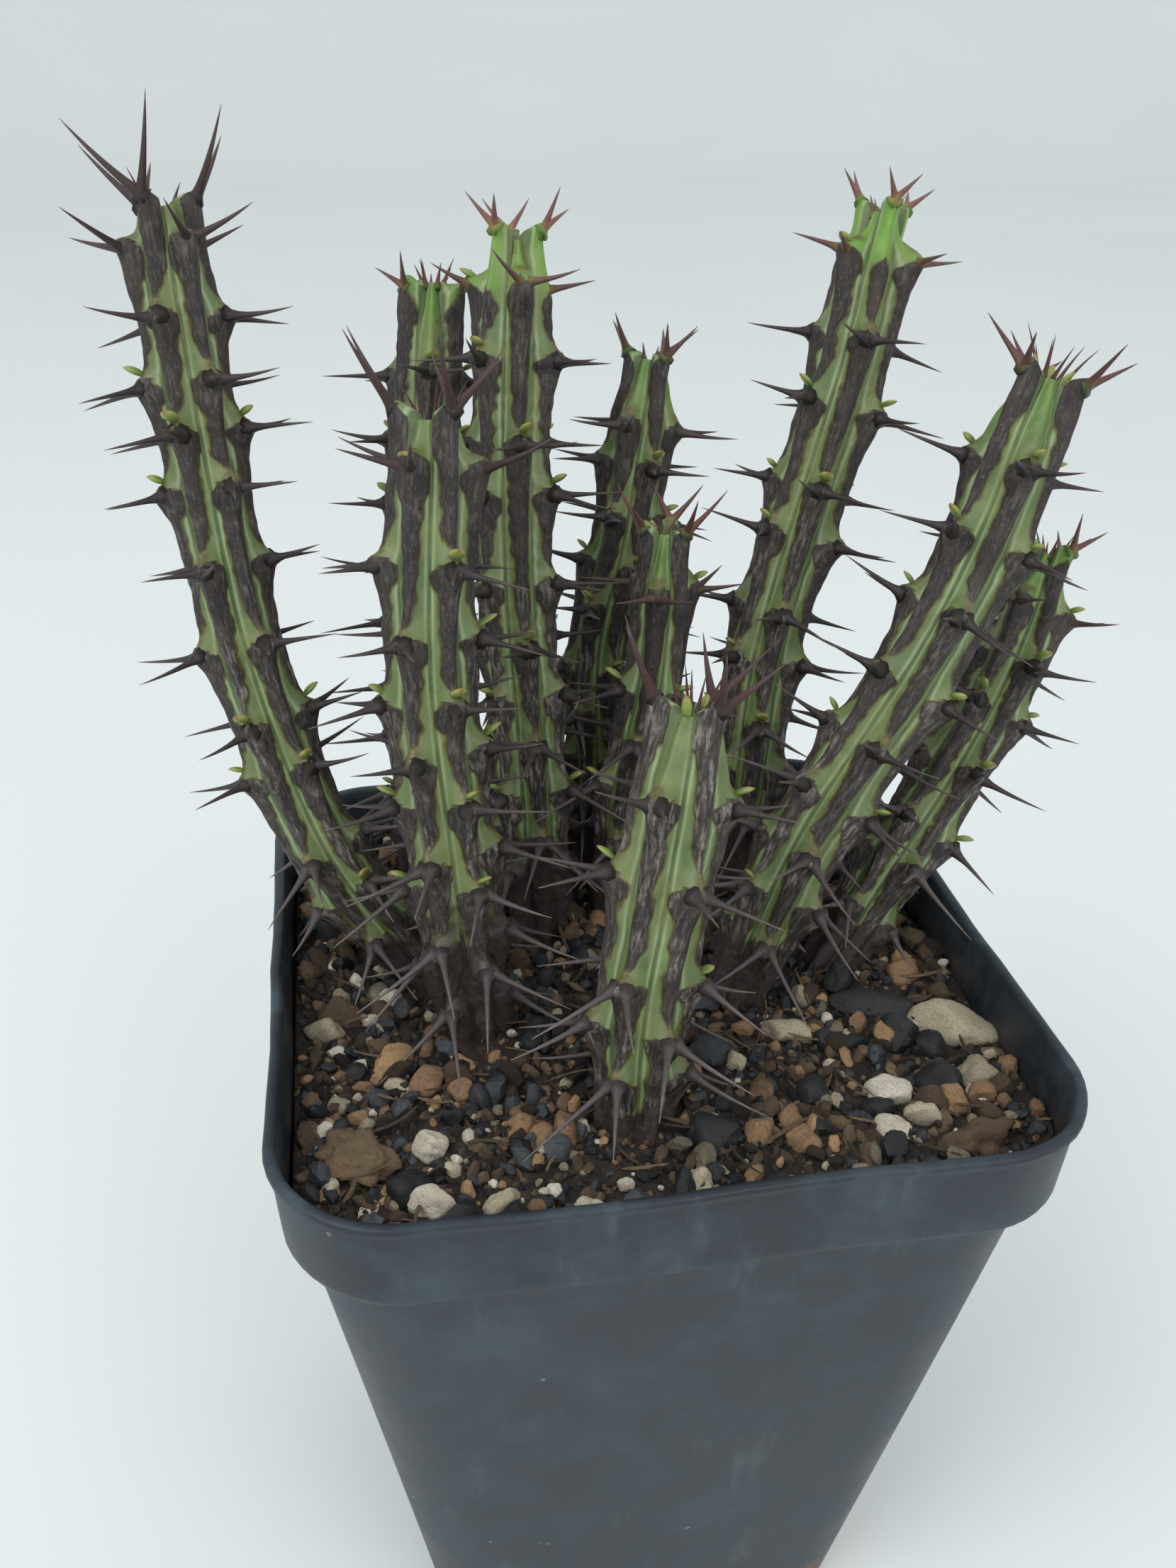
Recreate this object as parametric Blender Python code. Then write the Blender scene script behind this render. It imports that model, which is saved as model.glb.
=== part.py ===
"""Potted clump of spiny, six-ribbed euphorbia stems in a square nursery pot.

Metres, +Z up. The origin is the centre of the pot's underside, where it rests.
+X is the plant's right, -Y its front.
"""
import bpy
import bmesh
import math
import random
from mathutils import Quaternion, Vector
from mathutils.bvhtree import BVHTree

# ---------------------------------------------------------------- pot
POT_HEIGHT = 0.100            # underside to rim
RIM_WIDTH = 0.090             # outside of the rim, flat to flat
BASE_WIDTH = 0.0570           # outside of the tapered body at the underside
COLLAR_HEIGHT = 0.0122        # band under the rim that stands proud of the body
COLLAR_PROUD = 0.0018         # how far the band's foot stands out of the body
COLLAR_FLARE = 0.0012         # how far the rim stands out of the band's foot
STEP_HEIGHT = 0.0006          # slope by which the body widens to the collar
LIP_HEIGHT = 0.0012           # thickened bead along the rim
LIP_PROUD = 0.0004            # how far the bead stands out of the collar
WALL = 0.0010                 # plastic thickness
FLOOR = 0.0016                # plastic thickness of the floor
EDGE_ROUND = 0.0005           # rounding of the pot's edges
CORNER_RADIUS_TOP = 0.0140    # of the outline at the rim
CORNER_RADIUS_BASE = 0.0090   # of the outline at the underside
CORNER_SEGMENTS = 6
DRAIN_HOLE_DIAMETER = 0.0070
DRAIN_HOLE_EDGE = 0.0130      # hole centre from the outside of the base

# ---------------------------------------------------------------- soil
SOIL_DROP = 0.0080            # rim down to the mean soil surface
SOIL_RELIEF = 0.0007          # height of the bumps in the surface
SOIL_RINGS = 6                # rings of points across the surface
SOIL_FOOT_ROUND = 0.0010      # rounding of the soil's lower edge
BUMP_TURNS = (610.0, 530.0)   # radians per metre of the broad bumps
RIPPLE_TURNS = (1370.0, 940.0)
BUMP_SHARE = 0.65             # part of the relief made by the broad bumps
CLEARANCE = 0.0004            # gap kept between neighbouring solids

# ---------------------------------------------------------------- stems
RIBS = 6
CURVE_STEPS = 24              # straight pieces between two waypoints
TANGENT_REACH = 0.0015        # length over which a direction is measured
FURROW_RATIO = 0.73           # furrow radius over rib crest radius
SHOULDER_RATIO = 0.965        # radius beside a rib's crest over the crest's
SHOULDER_ANGLE = math.radians(11.0)
HEAD_RATIO = 1.23             # tubercle head radius over rib crest radius
VALLEY_RATIO = 0.97           # crest radius between two heads of a rib
HEAD_HALF_HEIGHT = 0.0007
FOOT_RATIO = 0.80             # stem radius at the soil over its full radius
FOOT_HEIGHT = 0.020           # height at which the full radius is reached
CROWN_RATIO = 0.62            # radius at the growing tip over full radius
CROWN_HEIGHT = 0.012          # length over which the tip narrows
ROOT_DEPTH = 0.0060           # round foot of the stem down in the soil
ROOT_RATIO = 0.72             # radius of that foot over the full radius
RIBS_START = 0.0012           # least length of round foot above the soil
FOOT_STEP = 0.0002            # step in which the end of the foot is searched
TOP_RING_DROP = 0.0004        # last ring below the tip
TOP_RING_RATIO = 0.80         # its radius over the full radius

# ---------------------------------------------------------------- spines
SPINE_LENGTH_LOW = 0.0125     # near the soil
SPINE_LENGTH_MID = 0.0084
SPINE_LENGTH_TIP = 0.0095     # round the growing tip
SPINE_SPREAD = 0.62           # sideways part of each spine of a pair
SPINE_LIFT_LOW = -0.80        # upward part of its direction at the soil
SPINE_LIFT_MID = -0.05
SPINE_LIFT_TIP = 1.70
SPINE_TRIALS = 24             # steps in which the free length is searched
SPINE_MIN_LENGTH = 0.0012
SPINE_GAP = 0.0010            # gap kept to a neighbouring stem or spine
WATERING_SPACE = 0.0084       # height over the soil that the tips stay out of
LOW_ZONE = 0.034              # height up to which the spines droop
TIP_ZONE = 0.010              # length of the tip where the spines stand up

# Each stem: full crest radius in millimetres, turn of its ribs in degrees,
# distances from the tip down to the heads on the even ribs and to those on the
# odd ribs in millimetres, then the centre line as points of x and y in
# hundredths of half the soil's width and height above the soil in millimetres.
STEMS = {
    "stem_far_left": (4.7, 6.0,
        (1.5, 12.0, 24.7, 40.2, 59.6, 78.0, 91.0),
        (5.1, 19.2, 31.3, 50.0, 66.0, 84.0), (
        (-61.0, 16.5, 0.0), (-88.0, 28.0, 17.0), (-105.5, 42.0, 41.0),
        (-113.0, 57.5, 65.0), (-118.0, 75.0, 90.5))),
    "stem_back_left": (4.9, 30.0,
        (11.5, 28.0, 44.0, 60.0, 73.0),
        (3.0, 20.0, 36.0, 52.0, 67.0), (
        (-57.5, 57.5, 0.0), (-55.0, 72.5, 23.0), (-51.0, 90.0, 54.2),
        (-45.0, 110.0, 79.6))),
    "stem_left_tall": (5.1, -23.0,
        (1.5, 13.7, 29.9, 41.3, 56.0, 69.0, 80.0),
        (5.9, 23.7, 49.0, 62.0, 75.0), (
        (-22.5, 36.5, 0.0), (-25.0, 50.5, 28.6), (-27.0, 60.0, 46.5),
        (-26.0, 70.5, 66.0), (-23.0, 82.0, 86.4))),
    "stem_front_left": (5.2, 56.0,
        (1.5, 15.9, 31.2, 43.2, 53.7, 64.0),
        (5.8, 24.0, 37.3, 49.8, 60.5, 69.0), (
        (-49.0, -14.0, 0.0), (-52.5, -3.5, 22.0), (-56.0, 8.0, 45.0),
        (-52.0, 23.5, 71.4))),
    "stem_back_middle": (4.4, 50.0,
        (1.5, 13.5, 27.5, 42.0, 55.0, 66.0),
        (8.5, 20.5, 33.5, 48.0, 61.0), (
        (3.5, 68.0, 0.0), (2.5, 77.5, 31.0), (11.5, 84.5, 48.5),
        (20.5, 93.5, 71.0))),
    "stem_middle": (4.2, 8.0,
        (7.5, 28.0, 42.0),
        (1.5, 21.0, 35.0, 48.0), (
        (4.0, 41.0, 0.0), (6.0, 44.0, 17.0), (14.0, 47.0, 33.0),
        (17.5, 51.5, 53.5))),
    "stem_front": (5.6, -8.0,
        (9.4, 30.0, 41.0),
        (1.5, 18.5, 35.7, 43.5), (
        (-11.0, -58.5, 0.0), (-7.5, -49.5, 14.0), (-2.0, -42.0, 25.0),
        (7.5, -28.0, 44.6))),
    "stem_back_right": (5.3, 25.0,
        (1.5, 15.7, 35.5, 52.5, 68.0, 82.0),
        (6.1, 24.5, 42.0, 59.0, 75.0), (
        (47.0, 51.5, 0.0), (53.5, 64.5, 30.0), (65.5, 74.0, 49.5),
        (81.0, 84.5, 70.5), (90.5, 93.5, 88.7))),
    "stem_right": (5.3, 21.0,
        (10.6, 29.4, 48.0, 63.6, 76.0),
        (2.3, 20.0, 39.2, 56.0, 70.0), (
        (30.5, -7.5, 0.0), (51.5, 1.0, 20.0), (81.5, 11.0, 39.0),
        (101.0, 18.5, 54.5), (117.5, 28.0, 73.7))),
    "stem_far_right": (4.8, 44.0,
        (1.5, 15.0, 30.7, 46.0),
        (7.5, 21.6, 40.0, 54.0), (
        (63.5, 2.5, 0.0), (81.0, 11.0, 9.6), (101.0, 21.5, 20.0),
        (122.0, 33.5, 33.3), (139.0, 47.0, 48.7))),
}

# ---------------------------------------------------------------- pebbles
PEBBLE_SUNK = 0.40            # share of a pebble's height below the soil
PEBBLE_LUMPS = 0.10           # unevenness of its surface, of its radius

# Each pebble: x and y in hundredths of half the soil's width, then length,
# width and height in millimetres, then its turn in degrees.
PEBBLES = {
    "pebble_cream_right": (90.0, -34.0, 8.6, 5.6, 4.6, -38.0),
    "pebble_cream_corner": (87.5, -56.0, 5.4, 4.4, 3.6, 40.0),
    "pebble_white_right": (59.5, -58.5, 5.4, 4.2, 3.8, 10.0),
    "pebble_cream_middle": (41.0, -29.5, 6.0, 3.4, 3.2, -20.0),
    "pebble_white_low": (56.0, -73.5, 5.2, 3.8, 3.4, 25.0),
    "pebble_tan_front": (31.5, -72.5, 4.0, 3.6, 3.0, 60.0),
    "pebble_orange_left": (-64.5, -35.0, 4.2, 3.6, 3.6, 15.0),
    "pebble_orange_front": (-41.0, -57.0, 4.0, 3.4, 3.4, 70.0),
    "pebble_white_front": (-67.0, -82.0, 4.2, 3.4, 3.2, -15.0),
    "pebble_cream_front": (-49.0, -82.5, 3.8, 3.4, 3.0, 35.0),
    "pebble_white_left": (-65.5, -61.5, 3.8, 3.2, 3.0, 80.0),
    "pebble_cream_far_left": (-91.5, -8.5, 4.4, 3.6, 3.8, 5.0),
    "pebble_red_clump": (77.5, -80.0, 8.0, 5.0, 3.4, 12.0),
    "pebble_moss_clump": (-84.5, -60.0, 7.6, 6.0, 3.2, -30.0),
    "pebble_dark_slab": (69.0, -22.0, 9.6, 4.4, 2.8, -8.0),
    "pebble_tan_back": (86.0, -6.0, 5.2, 4.0, 3.2, 30.0),
}

# ---------------------------------------------------------------- looks
COLOURS = {
    "pot_plastic": (0.035, 0.042, 0.050),
    "soil_mix": (0.055, 0.038, 0.026),
    "stem_skin": (0.16, 0.24, 0.09),
    "pale_stone": (0.62, 0.56, 0.44),
    "brown_stone": (0.42, 0.19, 0.08),
    "dark_stone": (0.05, 0.055, 0.06),
}
ROUGHNESS = {
    "pot_plastic": 0.48,
    "soil_mix": 0.95,
    "stem_skin": 0.55,
    "pale_stone": 0.85,
    "brown_stone": 0.90,
    "dark_stone": 0.80,
}

MM = 0.001
CUTTER_SIDES = 24
SHARP_ANGLE = math.radians(40.0)


def clear_scene():
    """Take every object out of the scene."""
    for old in list(bpy.data.objects):
        bpy.data.objects.remove(old, do_unlink=True)


def make_material(name):
    """A plain Principled BSDF material."""
    material = bpy.data.materials.new(name)
    material.use_nodes = True
    shader = material.node_tree.nodes["Principled BSDF"]
    shader.inputs["Base Color"].default_value = (*COLOURS[name], 1.0)
    shader.inputs["Roughness"].default_value = ROUGHNESS[name]
    return material


def place(name, work, material, location=(0.0, 0.0, 0.0), turn=None):
    """An object made from a bmesh, with outward normals, at its place."""
    bmesh.ops.recalc_face_normals(work, faces=work.faces)
    mesh = bpy.data.meshes.new(name)
    work.to_mesh(mesh)
    work.free()
    mesh.materials.append(material)
    mesh.shade_smooth()
    mesh.set_sharp_from_angle(angle=SHARP_ANGLE)
    item = bpy.data.objects.new(name, mesh)
    item.location = location
    if turn is not None:
        item.rotation_mode = "QUATERNION"
        item.rotation_quaternion = turn
    bpy.context.scene.collection.objects.link(item)
    return item


def skin(points, faces):
    """A bmesh from points and faces."""
    work = bmesh.new()
    corners = [work.verts.new(point) for point in points]
    for face in faces:
        work.faces.new([corners[index] for index in face])
    return work


def as_cutter(item):
    """Mark an object as a cutter that is no part of the model."""
    item.hide_render = True
    item.display_type = "WIRE"
    return item


def cut(target, cutters):
    """Subtract every cutter from the target and delete the cutters."""
    bpy.context.view_layer.update()
    bpy.context.view_layer.objects.active = target
    for cutter in cutters:
        modifier = target.modifiers.new("cut", "BOOLEAN")
        modifier.operation = "DIFFERENCE"
        modifier.solver = "EXACT"
        modifier.object = cutter
        bpy.ops.object.modifier_apply(modifier=modifier.name)
        bpy.data.objects.remove(cutter, do_unlink=True)


# ---------------------------------------------------------------- pot

def rounded_square(half, radius, height):
    """Outline of a square with round corners at one height."""
    points = []
    for quarter in range(4):
        middle = math.radians(45.0 + 90.0 * quarter)
        centre_x = math.copysign(half - radius, math.cos(middle))
        centre_y = math.copysign(half - radius, math.sin(middle))
        for step in range(CORNER_SEGMENTS + 1):
            angle = math.radians(90.0 * (quarter + step / CORNER_SEGMENTS))
            points.append(Vector((centre_x + radius * math.cos(angle),
                                  centre_y + radius * math.sin(angle),
                                  height)))
    return points


def loft(rings):
    """Points and faces of a closed skin through rings of equal length."""
    count = len(rings[0])
    points = [point for ring in rings for point in ring]
    faces = []
    for row in range(len(rings) - 1):
        for column in range(count):
            after = (column + 1) % count
            faces.append((row * count + column, row * count + after,
                          (row + 1) * count + after,
                          (row + 1) * count + column))
    faces.append(tuple(reversed(range(count))))
    last = (len(rings) - 1) * count
    faces.append(tuple(range(last, last + count)))
    return points, faces


def body_half(height):
    """Half width of the tapered body's outside at a height."""
    share = height / (POT_HEIGHT - COLLAR_HEIGHT)
    top = RIM_WIDTH / 2 - COLLAR_FLARE - COLLAR_PROUD
    return BASE_WIDTH / 2 + (top - BASE_WIDTH / 2) * share


def collar_half(height):
    """Half width of the collar's outside at a height."""
    foot = POT_HEIGHT - COLLAR_HEIGHT
    share = (height - foot) / COLLAR_HEIGHT
    low = RIM_WIDTH / 2 - COLLAR_FLARE
    high = RIM_WIDTH / 2 - LIP_PROUD
    return low + (high - low) * share


def corner_radius(height):
    """Corner radius of the outside at a height."""
    share = height / POT_HEIGHT
    return CORNER_RADIUS_BASE + (CORNER_RADIUS_TOP
                                 - CORNER_RADIUS_BASE) * share


def ring_at(height, half, inset=0.0):
    """Rounded outline moved inwards by an inset."""
    return rounded_square(half - inset, corner_radius(height) - inset, height)


def build_pot(material):
    """Thin tapered pot with collar, rim bead and drain holes."""
    foot = POT_HEIGHT - COLLAR_HEIGHT
    step = STEP_HEIGHT
    edge = EDGE_ROUND
    bead = POT_HEIGHT - LIP_HEIGHT
    rim = RIM_WIDTH / 2
    outside = [
        ring_at(0.0, body_half(0.0), edge),
        ring_at(edge, body_half(edge)),
        ring_at(foot / 2, body_half(foot / 2)),
        ring_at(foot, body_half(foot)),
        ring_at(foot + step, collar_half(foot + step)),
        ring_at(bead - edge, collar_half(bead - edge)),
        ring_at(bead, rim),
        ring_at(POT_HEIGHT - edge / 2, rim),
        ring_at(POT_HEIGHT, rim, edge / 2),
    ]
    inside_foot = foot + step + WALL / 2
    inside = [
        ring_at(POT_HEIGHT, rim, WALL + LIP_PROUD - edge / 2),
        ring_at(POT_HEIGHT - edge / 2, rim, WALL + LIP_PROUD),
        ring_at(bead, collar_half(bead), WALL),
        ring_at(inside_foot, collar_half(inside_foot), WALL),
        ring_at(inside_foot - step, body_half(inside_foot - step), WALL),
        ring_at(foot / 2, body_half(foot / 2), WALL),
        ring_at(FLOOR + edge, body_half(FLOOR + edge), WALL),
        ring_at(FLOOR, body_half(FLOOR), WALL + edge),
    ]
    points, faces = loft(outside + inside)
    pot = place("pot", skin(points, faces), material)
    reach = BASE_WIDTH / 2 - DRAIN_HOLE_EDGE
    drills = []
    for side_x in (-1, 1):
        for side_y in (-1, 1):
            below = Vector((side_x * reach, side_y * reach, -FLOOR))
            above = Vector((side_x * reach, side_y * reach, 2 * FLOOR))
            drills.append(round_cutter(below, above,
                                       DRAIN_HOLE_DIAMETER / 2, material))
    cut(pot, drills)
    return pot


def round_cutter(start, end, radius, material):
    """Closed prism between two points, for use as a cutter."""
    work = bmesh.new()
    bmesh.ops.create_cone(work, cap_ends=True, segments=CUTTER_SIDES,
                          radius1=radius, radius2=radius,
                          depth=(end - start).length)
    turn = (end - start).to_track_quat("Z", "Y")
    return as_cutter(place("cutter", work, material,
                           (start + end) / 2, turn))


def cross_axes(axis):
    """Two directions at right angles to an axis, the first nearest +X."""
    side = Vector((1.0, 0.0, 0.0))
    side = (side - axis * side.dot(axis)).normalized()
    return side, axis.cross(side)


# ---------------------------------------------------------------- stems

class StemLine:
    """Smooth centre line of a stem, measured along its length."""

    def __init__(self, waypoints, half, soil_height):
        nodes = [Vector((x / 100 * half, y / 100 * half,
                         soil_height + height * MM))
                 for x, y, height in waypoints]
        nodes.insert(0, nodes[0] * 2 - nodes[1])
        nodes.append(nodes[-1] * 2 - nodes[-2])
        self.points = []
        for span in range(1, len(nodes) - 2):
            for step in range(CURVE_STEPS):
                share = step / CURVE_STEPS
                self.points.append(self.spline(nodes, span, share))
        self.points.append(nodes[-2])
        self.marks = [0.0]
        for here, there in zip(self.points, self.points[1:]):
            self.marks.append(self.marks[-1] + (there - here).length)
        self.length = self.marks[-1]

    @staticmethod
    def spline(nodes, span, share):
        """Catmull-Rom point between two waypoints."""
        a, b, c, d = nodes[span - 1:span + 3]
        square = share * share
        cube = square * share
        return 0.5 * (2 * b + (c - a) * share
                      + (2 * a - 5 * b + 4 * c - d) * square
                      + (3 * b - a - 3 * c + d) * cube)

    def point(self, along):
        """Position at a length, going straight on past either end."""
        if along <= 0.0:
            start = (self.points[1] - self.points[0]).normalized()
            return self.points[0] + start * along
        if along >= self.length:
            end = (self.points[-1] - self.points[-2]).normalized()
            return self.points[-1] + end * (along - self.length)
        for index in range(len(self.marks) - 1):
            if along <= self.marks[index + 1]:
                break
        span = self.marks[index + 1] - self.marks[index]
        share = (along - self.marks[index]) / span
        return self.points[index].lerp(self.points[index + 1], share)

    def tangent(self, along):
        """Direction of growth at a length."""
        return (self.point(along + TANGENT_REACH)
                - self.point(along - TANGENT_REACH)).normalized()


def crest_radius(full, along, length):
    """Rib crest radius at a length along the stem."""
    rise = min(1.0, max(0.0, along / FOOT_HEIGHT))
    rise = rise * rise * (3 - 2 * rise)
    radius = full * (FOOT_RATIO + (1 - FOOT_RATIO) * rise)
    left = length - along
    if left < CROWN_HEIGHT:
        share = 1 - max(0.0, left) / CROWN_HEIGHT
        radius *= 1 - (1 - CROWN_RATIO) * share * share
    return radius


def height_over_soil(line, along, radius):
    """Height over the soil of the lowest side of a ring of a radius."""
    growth = line.tangent(along)
    droop = radius * math.sqrt(1.0 - growth.z * growth.z)
    return line.point(along).z - droop - (POT_HEIGHT - SOIL_DROP)


def foot_end(line, full):
    """Length at which the round foot has left the soil on every side."""
    along = RIBS_START
    while height_over_soil(line, along, full * ROOT_RATIO) < SOIL_RELIEF:
        along += FOOT_STEP
    return along


def head_levels(line, full, design):
    """Length and kind of rib, even or odd, of each head level, upwards."""
    levels = []
    lowest = foot_end(line, full) + 2 * HEAD_HALF_HEIGHT
    needed = SOIL_RELIEF + SPINE_MIN_LENGTH + CLEARANCE
    for parity in (0, 1):
        for drop in design[2 + parity]:
            along = line.length - drop * MM
            radius = crest_radius(full, along, line.length) * HEAD_RATIO
            if along < lowest:
                continue
            if height_over_soil(line, along, radius) < needed:
                continue
            levels.append((along, parity))
    return sorted(levels)


def section_angles(turn):
    """Angles round a stem with the rib number and part of each point."""
    angles = []
    for rib in range(RIBS):
        middle = turn + math.tau * rib / RIBS
        angles.append((middle - math.pi / RIBS, rib, "furrow"))
        angles.append((middle - SHOULDER_ANGLE, rib, "shoulder"))
        angles.append((middle, rib, "crest"))
        angles.append((middle + SHOULDER_ANGLE, rib, "shoulder"))
    return angles


def stem_ring(line, along, full, turn, head_parity):
    """One ring of stem points. Ribs of the given parity carry heads."""
    centre = line.point(along)
    side, across = cross_axes(line.tangent(along))
    radius = crest_radius(full, along, line.length)
    ring = []
    for angle, rib, part in section_angles(turn):
        ratio = FURROW_RATIO
        if part != "furrow":
            has_head = head_parity is not None and rib % 2 == head_parity
            ratio = HEAD_RATIO if has_head else VALLEY_RATIO
            if part == "shoulder":
                ratio *= SHOULDER_RATIO
        ring.append(centre + radius * ratio * (
            side * math.cos(angle) + across * math.sin(angle)))
    return ring


def round_ring(line, along, radius, turn):
    """One plain round ring with the same angles as a ribbed one."""
    centre = line.point(along)
    side, across = cross_axes(line.tangent(max(0.0, along)))
    return [centre + radius * (side * math.cos(angle)
                               + across * math.sin(angle))
            for angle, rib, part in section_angles(turn)]


def spine_direction(outward, sideways, growth, along, length):
    """Direction of a spine: drooping low down, upright at the tip."""
    lift = SPINE_LIFT_MID
    if along < LOW_ZONE:
        drop = SPINE_LIFT_LOW - SPINE_LIFT_MID
        lift += drop * (1 - along / LOW_ZONE)
    if length - along < TIP_ZONE:
        lift = SPINE_LIFT_TIP * (1 - (length - along) / TIP_ZONE)
    return (outward + sideways * SPINE_SPREAD + growth * lift).normalized()


def spine_length(along, length):
    """Wanted spine length at a height on the stem."""
    if length - along < TIP_ZONE:
        return SPINE_LENGTH_TIP
    share = min(1.0, along / LOW_ZONE)
    return SPINE_LENGTH_LOW + (SPINE_LENGTH_MID - SPINE_LENGTH_LOW) * share


def free_length(start, direction, wanted, name, lines, spines):
    """Longest spine that keeps its gap to other stems, spines and soil."""
    lowest = POT_HEIGHT - SOIL_DROP + WATERING_SPACE
    wall = RIM_WIDTH / 2 - WALL - LIP_PROUD - 2 * SPINE_GAP
    best = 0.0
    for trial in range(1, SPINE_TRIALS + 1):
        reach = wanted * trial / SPINE_TRIALS
        point = start + direction * reach
        if point.z < lowest:
            break
        if point.z < POT_HEIGHT + SPINE_GAP and max(abs(point.x),
                                                    abs(point.y)) > wall:
            break
        if touches_stem(point, name, lines):
            break
        if touches_spine(point, name, spines):
            break
        best = reach
    return max(best, SPINE_MIN_LENGTH)


def touches_stem(point, name, lines):
    """True where a point comes too close to another stem's heads."""
    for other, (line, full) in lines.items():
        if other == name:
            continue
        limit = full * HEAD_RATIO + SPINE_GAP + SPINE_MIN_LENGTH
        for mark in line.points[::3]:
            if (point - mark).length < limit:
                return True
    return False


def touches_spine(point, name, spines):
    """True where a point comes too close to another stem's spine."""
    for other, start, end in spines:
        if other == name:
            continue
        span = end - start
        share = (point - start).dot(span) / span.length_squared
        share = min(1.0, max(0.0, share))
        if (point - start - span * share).length < SPINE_GAP:
            return True
    return False


def build_stem(name, design, lines, spines, material):
    """One ribbed stem with its heads and paired spines as one solid."""
    full = design[0] * MM
    turn = math.radians(design[1])
    line = lines[name][0]
    rings = [
        round_ring(line, -ROOT_DEPTH, full * ROOT_RATIO, turn),
        round_ring(line, foot_end(line, full), full * ROOT_RATIO, turn),
    ]
    head_rows = {}
    for along, parity in head_levels(line, full, design):
        head_rows[len(rings)] = (along, parity)
        for shift in (-HEAD_HALF_HEIGHT, HEAD_HALF_HEIGHT):
            rings.append(stem_ring(line, along + shift, full, turn, parity))
    top = line.length - TOP_RING_DROP
    rings.append(stem_ring(line, top, full * TOP_RING_RATIO, turn, None))
    count = len(rings[0])
    points = [point for ring in rings for point in ring]
    faces = [tuple(reversed(range(count)))]
    for row in range(len(rings) - 1):
        for column in range(count):
            after = (column + 1) % count
            quad = (row * count + column, row * count + after,
                    (row + 1) * count + after, (row + 1) * count + column)
            tip = None
            if row in head_rows:
                tip = spine_tip(points, quad, column, row, head_rows, line,
                                name, turn, lines, spines)
            if tip is None:
                faces.append(quad)
                continue
            points.append(tip)
            apex = len(points) - 1
            for corner in range(4):
                faces.append((quad[corner], quad[(corner + 1) % 4], apex))
    points.append(line.point(line.length))
    centre = len(points) - 1
    last = (len(rings) - 1) * count
    for column in range(count):
        faces.append((last + column, last + (column + 1) % count, centre))
    foot = line.point(0.0)
    work = skin([point - foot for point in points], faces)
    return place(name, work, material, foot)


def spine_tip(points, quad, column, row, head_rows, line, name, turn,
              lines, spines):
    """Tip of the spine that grows on a face of a head, or None."""
    along, parity = head_rows[row]
    rib, part = divmod(column, 4)
    if rib % 2 != parity or part not in (1, 2):
        return None
    growth = line.tangent(along)
    side, across = cross_axes(growth)
    middle = turn + math.tau * rib / RIBS
    outward = side * math.cos(middle) + across * math.sin(middle)
    sideways = growth.cross(outward)
    if part == 1:
        sideways = -sideways
    direction = spine_direction(outward, sideways, growth, along,
                                line.length)
    start = sum((points[i] for i in quad), Vector()) / 4
    wanted = spine_length(along, line.length)
    length = free_length(start, direction, wanted, name, lines, spines)
    tip = start + direction * length
    spines.append((name, start, tip))
    return tip


# ---------------------------------------------------------------- soil

def soil_bump(x, y):
    """Height of the soil surface above its mean level."""
    wave = math.sin(x * BUMP_TURNS[0]) * math.cos(y * BUMP_TURNS[1])
    ripple = math.sin(x * RIPPLE_TURNS[0] - y * RIPPLE_TURNS[1])
    return SOIL_RELIEF * (BUMP_SHARE * wave + (1 - BUMP_SHARE) * ripple)


def build_soil(material):
    """Soil that fills the pot up to its surface, without the pockets."""
    level = POT_HEIGHT - SOIL_DROP
    foot = POT_HEIGHT - COLLAR_HEIGHT
    gap = WALL + CLEARANCE
    low = FLOOR + CLEARANCE
    step_top = foot + STEP_HEIGHT + WALL / 2 + 1.5 * CLEARANCE
    step_foot = step_top - STEP_HEIGHT
    rings = [
        ring_at(low, body_half(low), gap + SOIL_FOOT_ROUND),
        ring_at(low + SOIL_FOOT_ROUND, body_half(low + SOIL_FOOT_ROUND), gap),
        ring_at(foot / 2, body_half(foot / 2), gap),
        ring_at(step_foot, body_half(step_foot), gap),
        ring_at(step_top, collar_half(step_top), gap),
    ]
    edge = ring_at(level, collar_half(level), gap)
    rings.append([Vector((p.x, p.y, level - SOIL_RELIEF)) for p in edge])
    for number in range(1, SOIL_RINGS):
        share = 1 - number / SOIL_RINGS
        rings.append([Vector((p.x * share, p.y * share,
                              level + soil_bump(p.x * share, p.y * share)))
                      for p in edge])
    points, faces = loft(rings)
    faces.pop()
    points.append(Vector((0.0, 0.0, level + soil_bump(0.0, 0.0))))
    count = len(edge)
    last = (len(rings) - 1) * count
    for column in range(count):
        faces.append((last + column, last + (column + 1) % count,
                      len(points) - 1))
    return place("soil", skin(points, faces), material)


def root_pocket(line, full, material):
    """Cutter for the round pocket in the soil round a stem's foot."""
    axis = line.tangent(0.0)
    start = line.point(0.0) - axis * (ROOT_DEPTH + CLEARANCE)
    end = line.point(0.0) + axis * FOOT_HEIGHT
    wall = (full * ROOT_RATIO + CLEARANCE) / math.cos(math.pi / CUTTER_SIDES)
    return round_cutter(start, end, wall, material)


# ---------------------------------------------------------------- pebbles

def surface_height(surface, x, y):
    """Height of the soil surface above a point."""
    hit = surface.ray_cast(Vector((x, y, 2 * POT_HEIGHT)),
                           Vector((0.0, 0.0, -1.0)))
    return hit[0].z


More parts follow.
